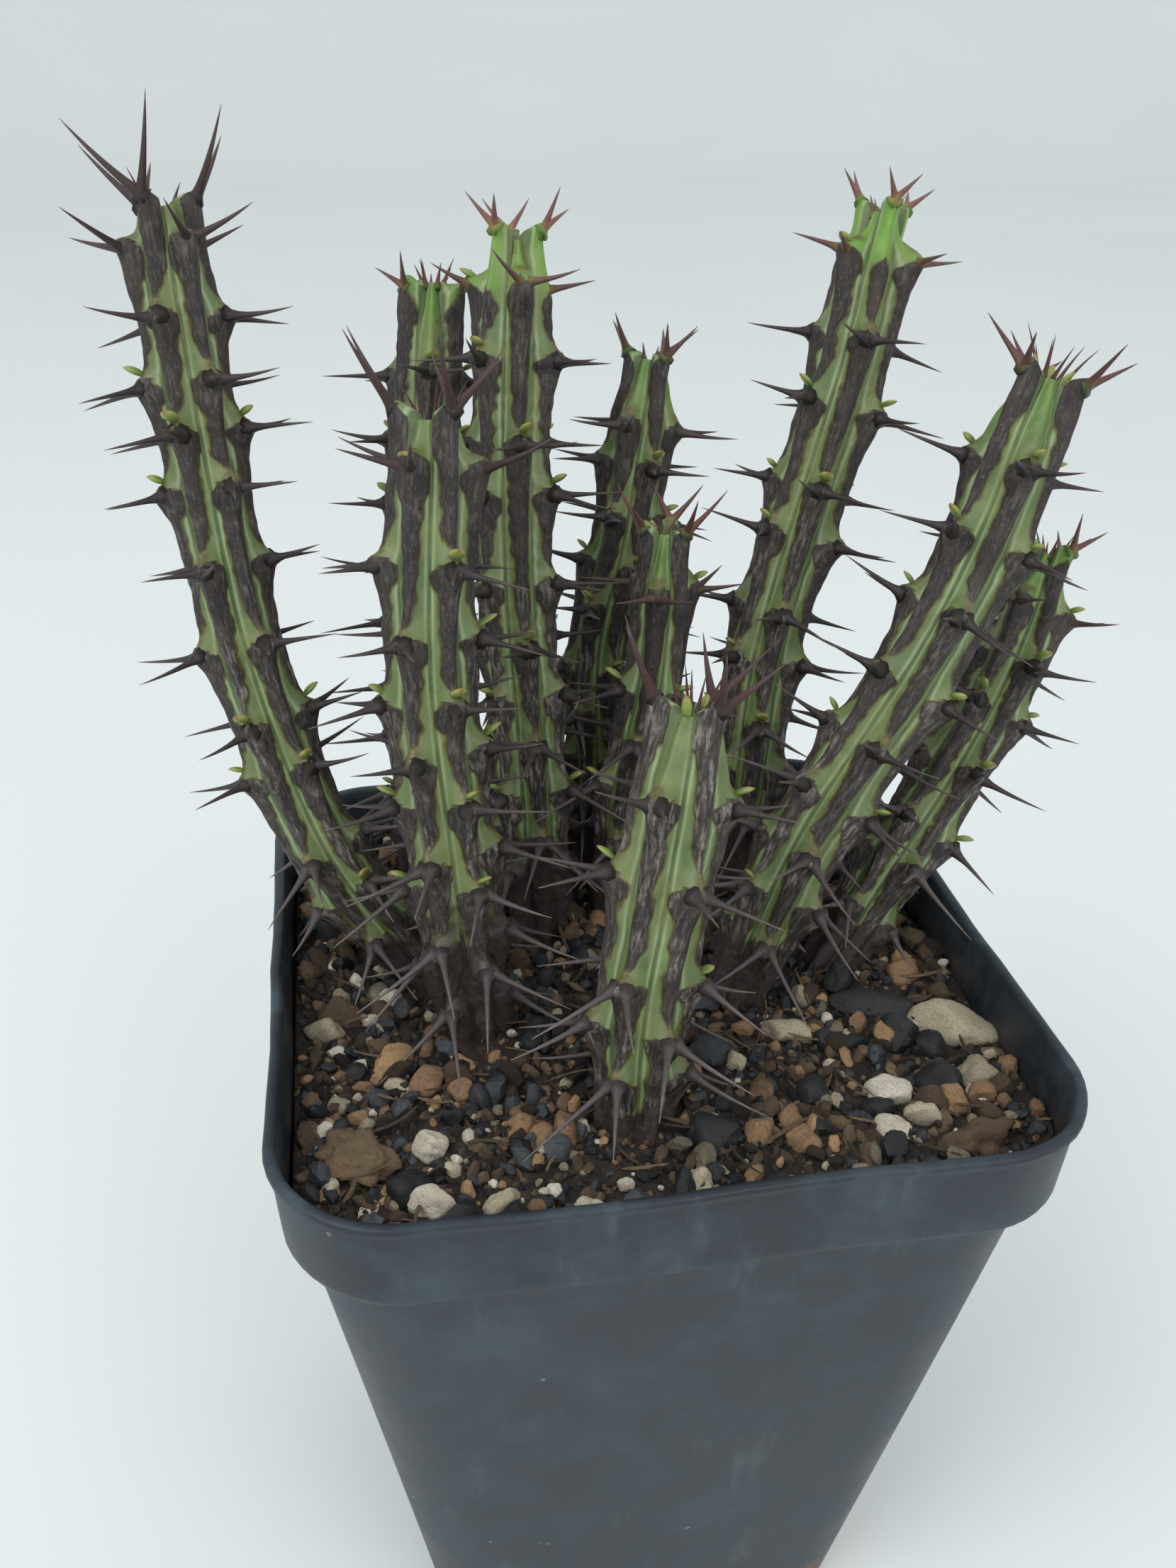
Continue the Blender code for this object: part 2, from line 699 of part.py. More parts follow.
def build_pebble(name, design, surface, half, grow, material, seed):
    """An angular, rounded stone, grown on all sides by a distance."""
    across, along, length, width, height, turn = design
    place_x = across / 100 * half
    place_y = along / 100 * half
    top = surface_height(surface, place_x, place_y)
    centre = Vector((place_x, place_y,
                     top + height * MM * (0.5 - PEBBLE_SUNK)))
    rng = random.Random(seed)
    work = bmesh.new()
    bmesh.ops.create_icosphere(work, subdivisions=2, radius=1.0)
    for vertex in work.verts:
        lump = 1.0 + rng.uniform(-PEBBLE_LUMPS, PEBBLE_LUMPS)
        vertex.co.x *= length * MM / 2 * lump + grow
        vertex.co.y *= width * MM / 2 * lump + grow
        vertex.co.z *= height * MM / 2 * lump + grow
    yaw = Quaternion((0.0, 0.0, 1.0), math.radians(turn))
    return place(name, work, material, centre, yaw)


def stone_slot(name):
    """The material of a pebble, chosen by the kind in its name."""
    if "white" in name or "cream" in name:
        return "pale_stone"
    if "dark" in name:
        return "dark_stone"
    return "brown_stone"


def main():
    """Build every piece of the potted plant."""
    clear_scene()
    materials = {name: make_material(name) for name in COLOURS}
    earth = materials["soil_mix"]
    build_pot(materials["pot_plastic"])
    soil = build_soil(earth)
    surface = BVHTree.FromObject(soil, bpy.context.evaluated_depsgraph_get())
    soil_height = POT_HEIGHT - SOIL_DROP
    half = collar_half(soil_height) - WALL - CLEARANCE
    lines = {}
    for name, design in STEMS.items():
        lines[name] = (StemLine(design[4], half, soil_height),
                       design[0] * MM)
    spines = []
    pockets = []
    for name, design in STEMS.items():
        build_stem(name, design, lines, spines, materials["stem_skin"])
        pockets.append(root_pocket(lines[name][0], design[0] * MM, earth))
    for seed, (name, design) in enumerate(PEBBLES.items()):
        stone = materials[stone_slot(name)]
        build_pebble(name, design, surface, half, 0.0, stone, seed)
        pockets.append(as_cutter(build_pebble(
            "cutter", design, surface, half, CLEARANCE, earth, seed)))
    cut(soil, pockets)


main()
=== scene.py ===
"""Looks of the potted euphorbia: ribbed spiny stems in gritty soil and a dusty plastic pot.

Metres, +Z up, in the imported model's frame. The design tables repeat the part's own sizes.
"""
import math
import bmesh
import bpy
import numpy as np
from mathutils import Matrix, Vector


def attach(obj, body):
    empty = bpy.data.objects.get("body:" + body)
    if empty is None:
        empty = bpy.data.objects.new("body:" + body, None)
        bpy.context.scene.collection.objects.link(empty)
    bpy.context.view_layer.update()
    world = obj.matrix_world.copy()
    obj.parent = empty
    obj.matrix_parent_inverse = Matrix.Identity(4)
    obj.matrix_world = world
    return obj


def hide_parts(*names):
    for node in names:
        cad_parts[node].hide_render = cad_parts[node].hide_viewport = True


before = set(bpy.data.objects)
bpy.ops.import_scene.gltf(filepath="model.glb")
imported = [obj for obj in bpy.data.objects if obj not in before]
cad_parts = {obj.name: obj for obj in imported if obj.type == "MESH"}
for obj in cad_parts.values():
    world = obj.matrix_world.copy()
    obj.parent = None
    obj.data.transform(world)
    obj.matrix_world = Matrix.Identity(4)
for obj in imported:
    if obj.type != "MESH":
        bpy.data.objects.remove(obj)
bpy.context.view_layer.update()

MM = 0.001

# ---------------------------------------------------------------- pot and soil sizes
POT_HEIGHT = 0.100
RIM_WIDTH = 0.090
BASE_WIDTH = 0.0570
COLLAR_HEIGHT = 0.0122
COLLAR_PROUD = 0.0018
COLLAR_FLARE = 0.0012
STEP_HEIGHT = 0.0006
LIP_HEIGHT = 0.0012
LIP_PROUD = 0.0004
WALL = 0.0010
FLOOR = 0.0016
CORNER_RADIUS_TOP = 0.0140
CORNER_RADIUS_BASE = 0.0090
DRAIN_HOLE_DIAMETER = 0.0070
DRAIN_HOLE_EDGE = 0.0130
SOIL_DROP = 0.0080
CLEARANCE = 0.0004
SOIL_LEVEL = POT_HEIGHT - SOIL_DROP
CORNER_STEPS = 12
SIDE_STEPS = 16
SOIL_RINGS = 90               # rings of points over the soil's surface
FIBRES = 170

# ---------------------------------------------------------------- stem sizes
RIBS = 6
COLUMNS = 22                  # faces across one rib
ROW_LENGTH = 0.00030          # length of one row of faces
FURROW_RATIO = 0.735
HEAD_RATIO = 1.23
HEAD_HALF_HEIGHT = 0.0007
FOOT_RATIO = 0.80
FOOT_HEIGHT = 0.020
CROWN_RATIO = 0.62
CROWN_HEIGHT = 0.012
ROOT_DEPTH = 0.0050
ROOT_RATIO = 0.72
RIBS_START = 0.0012
FOOT_STEP = 0.0002
SOIL_RELIEF = 0.0007
SPINE_MIN_LENGTH = 0.0012
LOW_ZONE = 0.034
TIP_ZONE = 0.010

# Each stem: crest radius, rib turn in degrees, height of its brown corky foot,
# distances from the tip down to the heads on its even and on its odd ribs, then the
# centre line as x and y in hundredths of half the soil's width and height above the
# soil. Lengths are in millimetres.
STEMS = {
    "stem_far_left": (4.7, 6.0, 9.0,
        (1.5, 12.0, 24.7, 40.2, 59.6, 78.0, 91.0),
        (5.1, 19.2, 31.3, 50.0, 66.0, 84.0), (
        (-61.0, 16.5, 0.0), (-88.0, 28.0, 17.0), (-105.5, 42.0, 41.0),
        (-113.0, 57.5, 65.0), (-118.0, 75.0, 90.5))),
    "stem_back_left": (4.9, 30.0, 16.0,
        (11.5, 28.0, 44.0, 60.0, 73.0),
        (3.0, 20.0, 36.0, 52.0, 67.0), (
        (-57.5, 57.5, 0.0), (-55.0, 72.5, 23.0), (-51.0, 90.0, 54.2),
        (-45.0, 110.0, 79.6))),
    "stem_left_tall": (5.1, -23.0, 18.0,
        (1.5, 13.7, 29.9, 41.3, 56.0, 69.0, 80.0),
        (5.9, 23.7, 49.0, 62.0, 75.0), (
        (-22.5, 36.5, 0.0), (-25.0, 50.5, 28.6), (-27.0, 60.0, 46.5),
        (-26.0, 70.5, 66.0), (-23.0, 82.0, 86.4))),
    "stem_front_left": (5.2, 56.0, 24.0,
        (1.5, 15.9, 31.2, 43.2, 53.7, 64.0),
        (5.8, 24.0, 37.3, 49.8, 60.5, 69.0), (
        (-49.0, -14.0, 0.0), (-52.5, -3.5, 22.0), (-56.0, 8.0, 45.0),
        (-52.0, 23.5, 71.4))),
    "stem_back_middle": (4.4, 50.0, 18.0,
        (1.5, 13.5, 27.5, 42.0, 55.0, 66.0),
        (8.5, 20.5, 33.5, 48.0, 61.0), (
        (3.5, 68.0, 0.0), (2.5, 77.5, 31.0), (11.5, 84.5, 48.5),
        (20.5, 93.5, 71.0))),
    "stem_middle": (4.2, 8.0, 16.0,
        (7.5, 28.0, 42.0),
        (1.5, 21.0, 35.0, 48.0), (
        (4.0, 41.0, 0.0), (6.0, 44.0, 17.0), (14.0, 47.0, 33.0),
        (17.5, 51.5, 53.5))),
    "stem_front": (5.6, -8.0, 4.0,
        (9.4, 30.0, 41.0),
        (1.5, 18.5, 35.7, 43.5), (
        (-11.0, -58.5, 0.0), (-7.5, -49.5, 14.0), (-2.0, -42.0, 25.0),
        (7.5, -28.0, 44.6))),
    "stem_back_right": (5.3, 25.0, 15.0,
        (1.5, 15.7, 35.5, 52.5, 68.0, 82.0),
        (6.1, 24.5, 42.0, 59.0, 75.0), (
        (47.0, 51.5, 0.0), (53.5, 64.5, 30.0), (65.5, 74.0, 49.5),
        (81.0, 84.5, 70.5), (90.5, 93.5, 88.7))),
    "stem_right": (5.3, 21.0, 9.0,
        (10.6, 29.4, 48.0, 63.6, 76.0),
        (2.3, 20.0, 39.2, 56.0, 70.0), (
        (30.5, -7.5, 0.0), (51.5, 1.0, 20.0), (81.5, 11.0, 39.0),
        (101.0, 18.5, 54.5), (117.5, 28.0, 73.7))),
    "stem_far_right": (4.8, 44.0, 8.0,
        (1.5, 15.0, 30.7, 46.0),
        (7.5, 21.6, 40.0, 54.0), (
        (63.5, 2.5, 0.0), (81.0, 11.0, 9.6), (101.0, 21.5, 20.0),
        (122.0, 33.5, 33.3), (139.0, 47.0, 48.7))),
}

# Each crown: length of its spines in millimetres, how red they are, how fresh its
# green is, how far below the tip the shields still lack in millimetres, number and
# length in millimetres of the thin young spines, the same of its young leaves.
CROWNS = {
    "stem_far_left": (9.5, 0.30, 0.0, 0.0, 2, 5.0, 0, 0.0),
    "stem_back_left": (5.5, 0.35, 0.6, 4.0, 7, 3.8, 0, 0.0),
    "stem_left_tall": (6.0, 0.20, 1.0, 6.0, 0, 0.0, 0, 0.0),
    "stem_front_left": (9.5, 0.50, 0.0, 1.0, 5, 5.5, 2, 2.4),
    "stem_back_middle": (6.0, 0.0, 0.4, 2.0, 2, 3.0, 0, 0.0),
    "stem_middle": (6.5, 0.90, 0.3, 1.5, 2, 3.5, 1, 2.6),
    "stem_front": (8.5, 0.55, 0.0, 0.5, 6, 6.5, 2, 3.2),
    "stem_back_right": (5.5, 0.25, 1.0, 6.0, 4, 3.0, 0, 0.0),
    "stem_right": (7.5, 0.80, 0.3, 1.0, 7, 6.0, 3, 3.2),
    "stem_far_right": (6.0, 0.35, 0.6, 3.0, 7, 3.8, 0, 0.0),
}
CREST_SHARE = 0.955           # crest of the bare skin, before its swellings
CREST_BEND = math.radians(6.0)  # half width of the rounded crest
CROWN_REACH = 0.009           # length of the tip over which the heads lean up
CAP_ROWS = 16                 # rows of faces over the sunken growing point


def ripples(points, size, seed, count=8):
    """Smooth random field of about -1 to 1 whose features have a size."""
    rng = np.random.default_rng(seed)
    total = np.zeros(len(points))
    for _ in range(count):
        direction = rng.normal(size=3)
        direction /= np.linalg.norm(direction)
        turns = math.tau / size * rng.uniform(0.6, 1.4)
        total += np.sin(points @ direction * turns + rng.uniform(0.0, math.tau))
    return total / math.sqrt(count)


def smooth(low, high, value):
    """Smooth step from 0 at low to 1 at high."""
    share = np.clip((value - low) / (high - low), 0.0, 1.0)
    return share * share * (3.0 - 2.0 * share)


# ---------------------------------------------------------------- mesh building

def put(name, data):
    """A new object in the scene."""
    item = bpy.data.objects.new(name, data)
    bpy.context.scene.collection.objects.link(item)
    return item


class Skin:
    """Points, faces, material numbers and point attributes of one piece."""

    def __init__(self, *names):
        self.names = names
        self.points = []
        self.faces = []
        self.slots = []
        self.values = {name: [] for name in names}
        self.count = 0

    def add(self, points, faces, slot, **values):
        """Append points and faces. Attributes not given are zero."""
        self.points.append(points)
        self.faces.extend([tuple(int(i) + self.count for i in face)
                           for face in faces])
        self.slots.extend([slot] * len(faces))
        for name in self.names:
            value = values.get(name, 0.0)
            self.values[name].append(np.broadcast_to(value, len(points)))
        self.count += len(points)

    def build(self, name, materials, sharp=None):
        """The finished object, riding with the model."""
        mesh = bpy.data.meshes.new(name)
        mesh.from_pydata(np.concatenate(self.points).tolist(), [], self.faces)
        for material in materials:
            mesh.materials.append(material)
        mesh.polygons.foreach_set("material_index", self.slots)
        for label in self.names:
            layer = mesh.attributes.new(label, "FLOAT", "POINT")
            data = np.concatenate(self.values[label]).astype(np.float32)
            layer.data.foreach_set("value", data)
        mesh.shade_smooth()
        if sharp is not None:
            mesh.set_sharp_from_angle(angle=sharp)
        item = put(name, mesh)
        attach(item, "root")
        return item


def tube_faces(rows, columns):
    """Quads between rings of points, with a cap on the first and on the last ring."""
    faces = []
    for row in range(rows - 1):
        for column in range(columns):
            after = (column + 1) % columns
            faces.append((row * columns + column, row * columns + after,
                          (row + 1) * columns + after, (row + 1) * columns + column))
    last = (rows - 1) * columns
    faces.append(tuple(range(columns))[::-1])
    faces.append(tuple(range(last, last + columns)))
    return faces


def tube(path, radii, sides, flat=1.0, up=None):
    """Closed tapered tube along a path, and the share of length of each point."""
    path = np.asarray(path)
    along = np.gradient(path, axis=0)
    along /= np.linalg.norm(along, axis=1)[:, None]
    helper = np.array([0.0, 0.0, 1.0]) if up is None else up
    if abs(along[0] @ helper) > 0.95:
        helper = np.array([1.0, 0.0, 0.0])
    side = np.cross(along, helper)
    side /= np.linalg.norm(side, axis=1)[:, None]
    other = np.cross(along, side)
    turn = np.arange(sides) * math.tau / sides
    ring = (side[:, None] * np.cos(turn)[None, :, None]
            + other[:, None] * np.sin(turn)[None, :, None] * flat)
    points = path[:, None] + ring * np.asarray(radii)[:, None, None]
    points = points.reshape(-1, 3)
    share = np.repeat(np.linspace(0.0, 1.0, len(path)), sides)
    return points, tube_faces(len(path), sides), share


# ---------------------------------------------------------------- materials

def linear(colour):
    """Linear colour with alpha, from three linear shares or a hexadecimal screen colour."""
    if isinstance(colour, str):
        values = [int(colour[i:i + 2], 16) / 255.0 for i in (0, 2, 4)]
        colour = [v / 12.92 if v <= 0.04045 else ((v + 0.055) / 1.055) ** 2.4
                  for v in values]
    return (*colour, 1.0)


class Paint:
    """Shader nodes of one material. Colours are hexadecimal screen colours or sockets."""

    def __init__(self, name, roughness):
        self.material = bpy.data.materials.new(name)
        self.material.use_nodes = True
        self.tree = self.material.node_tree
        self.shader = self.tree.nodes["Principled BSDF"]
        self.shader.inputs["Roughness"].default_value = roughness

    def node(self, kind, **settings):
        """A new node with its settings."""
        node = self.tree.nodes.new(kind)
        for key, value in settings.items():
            setattr(node, key, value)
        return node

    def feed(self, socket, value):
        """Link a socket, or set it to a constant."""
        if isinstance(value, bpy.types.NodeSocket):
            self.tree.links.new(value, socket)
        elif isinstance(value, str):
            socket.default_value = linear(value)
        else:
            socket.default_value = value

    def place(self, scale=(1.0, 1.0, 1.0)):
        """Position on the object, in metres times a scale."""
        coordinates = self.node("ShaderNodeTexCoord")
        mapping = self.node("ShaderNodeMapping")
        self.feed(mapping.inputs["Vector"], coordinates.outputs["Object"])
        mapping.inputs["Scale"].default_value = scale
        return mapping.outputs["Vector"]

    def value(self, name):
        """A point attribute as a number."""
        return self.node("ShaderNodeAttribute", attribute_name=name).outputs["Fac"]

    def combine(self, x, y, z):
        """A vector from three numbers."""
        node = self.node("ShaderNodeCombineXYZ")
        for socket, value in zip(node.inputs, (x, y, z)):
            self.feed(socket, value)
        return node.outputs["Vector"]

    def noise(self, vector, scale, detail=4.0, roughness=0.55):
        """Noise of 0 to 1."""
        node = self.node("ShaderNodeTexNoise")
        self.feed(node.inputs["Vector"], vector)
        node.inputs["Scale"].default_value = scale
        node.inputs["Detail"].default_value = detail
        node.inputs["Roughness"].default_value = roughness
        return node.outputs["Fac"]

    def cells(self, vector, scale):
        """Distance field of random cells."""
        node = self.node("ShaderNodeTexVoronoi")
        self.feed(node.inputs["Vector"], vector)
        node.inputs["Scale"].default_value = scale
        return node.outputs["Distance"]

    def math(self, operation, first, second):
        """One arithmetic node."""
        node = self.node("ShaderNodeMath", operation=operation)
        for socket, value in zip(node.inputs, (first, second)):
            self.feed(socket, value)
        return node.outputs["Value"]

    def times(self, first, second):
        """Product of two values."""
        return self.math("MULTIPLY", first, second)

    def plus(self, first, second):
        """Sum of two values."""
        return self.math("ADD", first, second)

    def sway(self, value, amount):
        """A value of 0 to 1, centred on zero and scaled."""
        return self.times(self.math("SUBTRACT", value, 0.5), amount)

    def layer(self, base, share, amount, colour):
        """A colour laid over the base by a share times an amount."""
        return self.mix(self.times(share, amount), base, colour)

    def step(self, value, low, high, start=0.0, end=1.0):
        """Smooth step of a value between two limits."""
        node = self.node("ShaderNodeMapRange", interpolation_type="SMOOTHSTEP")
        for socket, number in zip(node.inputs, (value, low, high, start, end)):
            self.feed(socket, number)
        return node.outputs["Result"]

    def ramp(self, value, *stops):
        """Colour ramp through (position, colour) stops."""
        node = self.node("ShaderNodeValToRGB")
        elements = node.color_ramp.elements
        while len(elements) < len(stops):
            elements.new(0.5)
        for element, (position, colour) in zip(elements, stops):
            element.position = position
            element.color = linear(colour)
        self.feed(node.inputs["Fac"], value)
        return node.outputs["Color"]

    def mix(self, share, first, second, blend="MIX"):
        """Mix of two colours."""
        node = self.node("ShaderNodeMix", data_type="RGBA", blend_type=blend)
        self.feed(node.inputs["Factor"], share)
        self.feed(node.inputs[6], first)
        self.feed(node.inputs[7], second)
        return node.outputs[2]

    def bump(self, height, distance, strength=1.0):
        """Feed the shader's normal from a height of 0 to 1."""
        node = self.node("ShaderNodeBump")
        node.inputs["Strength"].default_value = strength
        node.inputs["Distance"].default_value = distance
        self.feed(node.inputs["Height"], height)
        self.feed(self.shader.inputs["Normal"], node.outputs["Normal"])

    def finish(self, colour, roughness=None):
        """Feed the shader's colour and, if it varies, its roughness."""
        self.feed(self.shader.inputs["Base Color"], colour)
        if roughness is not None:
            self.feed(self.shader.inputs["Roughness"], roughness)
        return self.material


def skin_material():
    """Waxy green skin with furrow lines, brown shields and a corky foot."""
    paint = Paint("euphorbia_skin", 0.5)
    along = paint.combine(paint.value("arc"), paint.value("along"), paint.value("seed"))
    place = paint.place()
    blotch = paint.noise(place, 260.0, 5.0, 0.6)
    fine = paint.noise(place, 1500.0, 4.0, 0.6)
    streak_place = paint.node("ShaderNodeMapping")
    paint.feed(streak_place.inputs["Vector"], along)
    streak_place.inputs["Scale"].default_value = (1.0, 0.16, 1.0)
    streak = paint.noise(streak_place.outputs["Vector"], 2.6, 6.0, 0.65)
    green = paint.ramp(blotch, (0.28, "4f6538"), (0.5, "617645"), (0.75, "758856"))
    young = paint.ramp(blotch, (0.3, "568a28"), (0.7, "76a83c"))
    green = paint.mix(paint.value("fresh"), green, young)
    furrow = paint.value("furrow")
    pale = paint.step(furrow, 0.95, 0.45)
    green = paint.layer(green, pale, 0.40, "87996a")
    line = paint.step(furrow, 0.26, 0.08)
    green = paint.layer(green, line, 0.75, "3a5031")
    ridge = paint.times(paint.step(furrow, 0.62, 0.42), paint.step(furrow, 0.22, 0.34))
    green = paint.layer(green, ridge, 0.55, "a3b58d")
    haze = paint.step(paint.noise(place, 150.0, 3.0), 0.40, 0.66, 0.0, 0.45)
    green = paint.mix(haze, green, "7b7f50")
    specks = paint.step(paint.cells(place, 420.0), 0.10, 0.05)
    green = paint.layer(green, specks, 0.35, "59683f")
    edge = paint.plus(paint.value("shield"), paint.sway(streak, 0.9))
    rim = paint.step(edge, -0.42, -0.08)
    green = paint.mix(rim, green, "4b4424")
    scuff = paint.step(streak, 0.43, 0.64)
    old = paint.value("old")
    dark = paint.ramp(blotch, (0.3, "1f1b1a"), (0.55, "2e2826"), (0.8, "40372f"))
    grey = paint.ramp(fine, (0.3, "6b635e"), (0.7, "a39c94"))
    thin = paint.noise(streak_place.outputs["Vector"], 8.0, 3.0, 0.6)
    scratch = paint.step(thin, 0.56, 0.70, 0.0, 0.40)
    worn = paint.step(paint.noise(place, 210.0, 3.0), 0.45, 0.62, 0.25, 1.0)
    share = paint.times(scuff, paint.step(old, 0.0, 1.0, 0.30, 0.95))
    share = paint.times(share, worn)
    share = paint.math("MAXIMUM", share, scratch)
    shield = paint.mix(share, dark, grey)
    inside = paint.step(edge, -0.08, 0.10)
    colour = paint.mix(inside, green, shield)
    cap = paint.value("cap")
    olive = paint.ramp(fine, (0.3, "4f4a2c"), (0.7, "6f6a3f"))
    colour = paint.mix(paint.step(cap, 0.35, 0.8), colour, olive)
    cork = paint.plus(paint.value("cork"), paint.sway(blotch, 1.3))
    bark = paint.ramp(fine, (0.25, "2a2322"), (0.55, "403634"), (0.85, "5c504a"))
    colour = paint.mix(paint.step(cork, 0.35, 0.75), colour, bark)
    rough = paint.step(inside, 0.0, 1.0, 0.42, 0.68)
    height = paint.plus(paint.times(streak, 0.7), paint.times(fine, 0.3))
    paint.bump(paint.times(height, paint.step(inside, 0.0, 1.0, 0.25, 1.0)), 0.00025, 0.8)
    return paint.finish(colour, rough)


def spine_material():
    """Dark horny spine that is paler and greyer towards its point."""
    paint = Paint("euphorbia_spine", 0.55)
    place = paint.place()
    fine = paint.noise(place, 1800.0, 4.0, 0.6)
    share = paint.value("share")
    dark = paint.ramp(share, (0.0, "2b2524"), (0.45, "39302f"), (0.85, "524847"), (1.0, "7f756b"))
    old = paint.ramp(share, (0.0, "433b3b"), (0.5, "5f5757"), (0.9, "756d6a"), (1.0, "9a917f"))
    young = paint.ramp(share, (0.0, "2c2320"), (0.2, "4a2a25"), (0.5, "4f272b"), (1.0, "3d2328"))
    colour = paint.mix(paint.value("old"), dark, old)
    colour = paint.mix(paint.value("young"), colour, young)
    fresh = paint.ramp(share, (0.0, "5f8a35"), (0.16, "9a8644"), (0.38, "8a5750"), (1.0, "6f6461"))
    colour = paint.mix(paint.value("fresh"), colour, fresh)
    shade = paint.ramp(fine, (0.3, (0.75, 0.75, 0.75)), (0.7, (1.1, 1.1, 1.1)))
    colour = paint.mix(1.0, colour, shade, "MULTIPLY")
    paint.bump(fine, 0.0001, 0.6)
    return paint.finish(colour)


def leaf_material():
    """Small fleshy leaf, yellow-green with a warmer point."""
    paint = Paint("euphorbia_leaf", 0.4)
    fine = paint.noise(paint.place(), 900.0, 3.0)
    share = paint.value("share")
    colour = paint.ramp(share, (0.0, "5f7a3a"), (0.55, "84954c"), (0.85, "9a9a56"), (1.0, "86593a"))
    tone = paint.ramp(fine, (0.3, (0.85, 0.85, 0.85)), (0.7, (1.1, 1.1, 1.0)))
    colour = paint.mix(1.0, colour, tone, "MULTIPLY")
    paint.bump(fine, 0.0001, 0.5)
    return paint.finish(colour)


# ---------------------------------------------------------------- stems

class StemLine:
    """Smooth centre line of a stem, measured along its length."""

    def __init__(self, waypoints):
        half = soil_half()
        nodes = [np.array((x / 100 * half, y / 100 * half,
                           SOIL_LEVEL + height * MM))
                 for x, y, height in waypoints]
        nodes.insert(0, nodes[0] * 2 - nodes[1])
        nodes.append(nodes[-1] * 2 - nodes[-2])
        points = []
        for span in range(1, len(nodes) - 2):
            for share in np.arange(24) / 24:
                points.append(self.spline(nodes, span, share))
        points.append(nodes[-2])
        self.points = np.array(points)
        steps = np.linalg.norm(np.diff(self.points, axis=0), axis=1)
        self.marks = np.concatenate(([0.0], np.cumsum(steps)))
        self.length = self.marks[-1]

    @staticmethod
    def spline(nodes, span, share):
        """Catmull-Rom point between two waypoints."""
        a, b, c, d = nodes[span - 1:span + 3]
        square = share * share
        cube = square * share
        return 0.5 * (2 * b + (c - a) * share
                      + (2 * a - 5 * b + 4 * c - d) * square
                      + (3 * b - a - 3 * c + d) * cube)

    def point(self, along):
        """Positions at lengths, going straight on past either end."""
        along = np.atleast_1d(along)
        inside = np.clip(along, 0.0, self.length)
        found = np.stack([np.interp(inside, self.marks, self.points[:, axis])
                          for axis in range(3)], axis=1)
        start = self.points[1] - self.points[0]
        end = self.points[-1] - self.points[-2]
        start = start / np.linalg.norm(start)
        end = end / np.linalg.norm(end)
        past = along - inside
        found += np.where(past < 0.0, past, 0.0)[:, None] * start
        found += np.where(past > 0.0, past, 0.0)[:, None] * end
        return found

    def axes(self, along):
        """Growth direction and two cross directions, the first nearest +X."""
        reach = 0.0015
        growth = self.point(along + reach) - self.point(along - reach)
        growth /= np.linalg.norm(growth, axis=1)[:, None]
        side = np.array([1.0, 0.0, 0.0]) - growth * growth[:, :1]
        side /= np.linalg.norm(side, axis=1)[:, None]
        return growth, side, np.cross(growth, side)


def body_half(height):
    """Half width of the tapered body's outside at a height."""
    share = height / (POT_HEIGHT - COLLAR_HEIGHT)
    top = RIM_WIDTH / 2 - COLLAR_FLARE - COLLAR_PROUD
    return BASE_WIDTH / 2 + (top - BASE_WIDTH / 2) * share


def collar_half(height):
    """Half width of the collar's outside at a height."""
    foot = POT_HEIGHT - COLLAR_HEIGHT
    share = (height - foot) / COLLAR_HEIGHT
    low = RIM_WIDTH / 2 - COLLAR_FLARE
    high = RIM_WIDTH / 2 - LIP_PROUD
    return low + (high - low) * share


def soil_half():
    """Half width of the soil's surface."""
    return collar_half(SOIL_LEVEL) - WALL - CLEARANCE


def crest_radius(full, along, length):
    """Rib crest radius at lengths along the stem."""
    rise = smooth(0.0, FOOT_HEIGHT, along)
    radius = full * (FOOT_RATIO + (1 - FOOT_RATIO) * rise)
    share = np.clip(1 - (length - along) / CROWN_HEIGHT, 0.0, 1.0)
    return radius * (1 - (1 - CROWN_RATIO) * share * share)


def height_over_soil(line, along, radius):
    """Height over the soil of the lowest side of a ring of a radius."""
    growth = line.axes(along)[0][0]
    droop = radius * math.sqrt(max(0.0, 1.0 - growth[2] ** 2))
    return line.point(along)[0][2] - droop - SOIL_LEVEL


def stem_heads(line, full, design):
    """For each rib, the lengths of its heads from the tip downwards."""
    foot = RIBS_START
    while height_over_soil(line, foot, full * ROOT_RATIO) < SOIL_RELIEF:
        foot += FOOT_STEP
    needed = SOIL_RELIEF + SPINE_MIN_LENGTH + CLEARANCE
    heads = [[] for _ in range(RIBS)]
    for rib in range(RIBS):
        for drop in design[3 + rib % 2]:
            along = line.length - drop * MM
            radius = crest_radius(full, along, line.length) * HEAD_RATIO
            if along < foot + 2 * HEAD_HALF_HEIGHT:
                continue
            if height_over_soil(line, along, radius) >= needed:
                heads[rib].append(along)
    return heads


def shield_width(drop, length):
    """Half width of a shield at a distance below its head."""
    lobe = 0.95 * MM * np.exp(-((drop - 0.5 * MM) / (1.7 * MM)) ** 2)
    middle = 1.50 * MM - 0.60 * MM * smooth(0.05, 0.95, drop / length)
    foot = np.clip((length - drop) / (2.6 * MM), 0.0, 1.0) ** 0.6
    head = np.sqrt(np.clip((drop + 1.0 * MM) / (1.2 * MM), 0.0, 1.0))
    return (middle + lobe) * foot * head


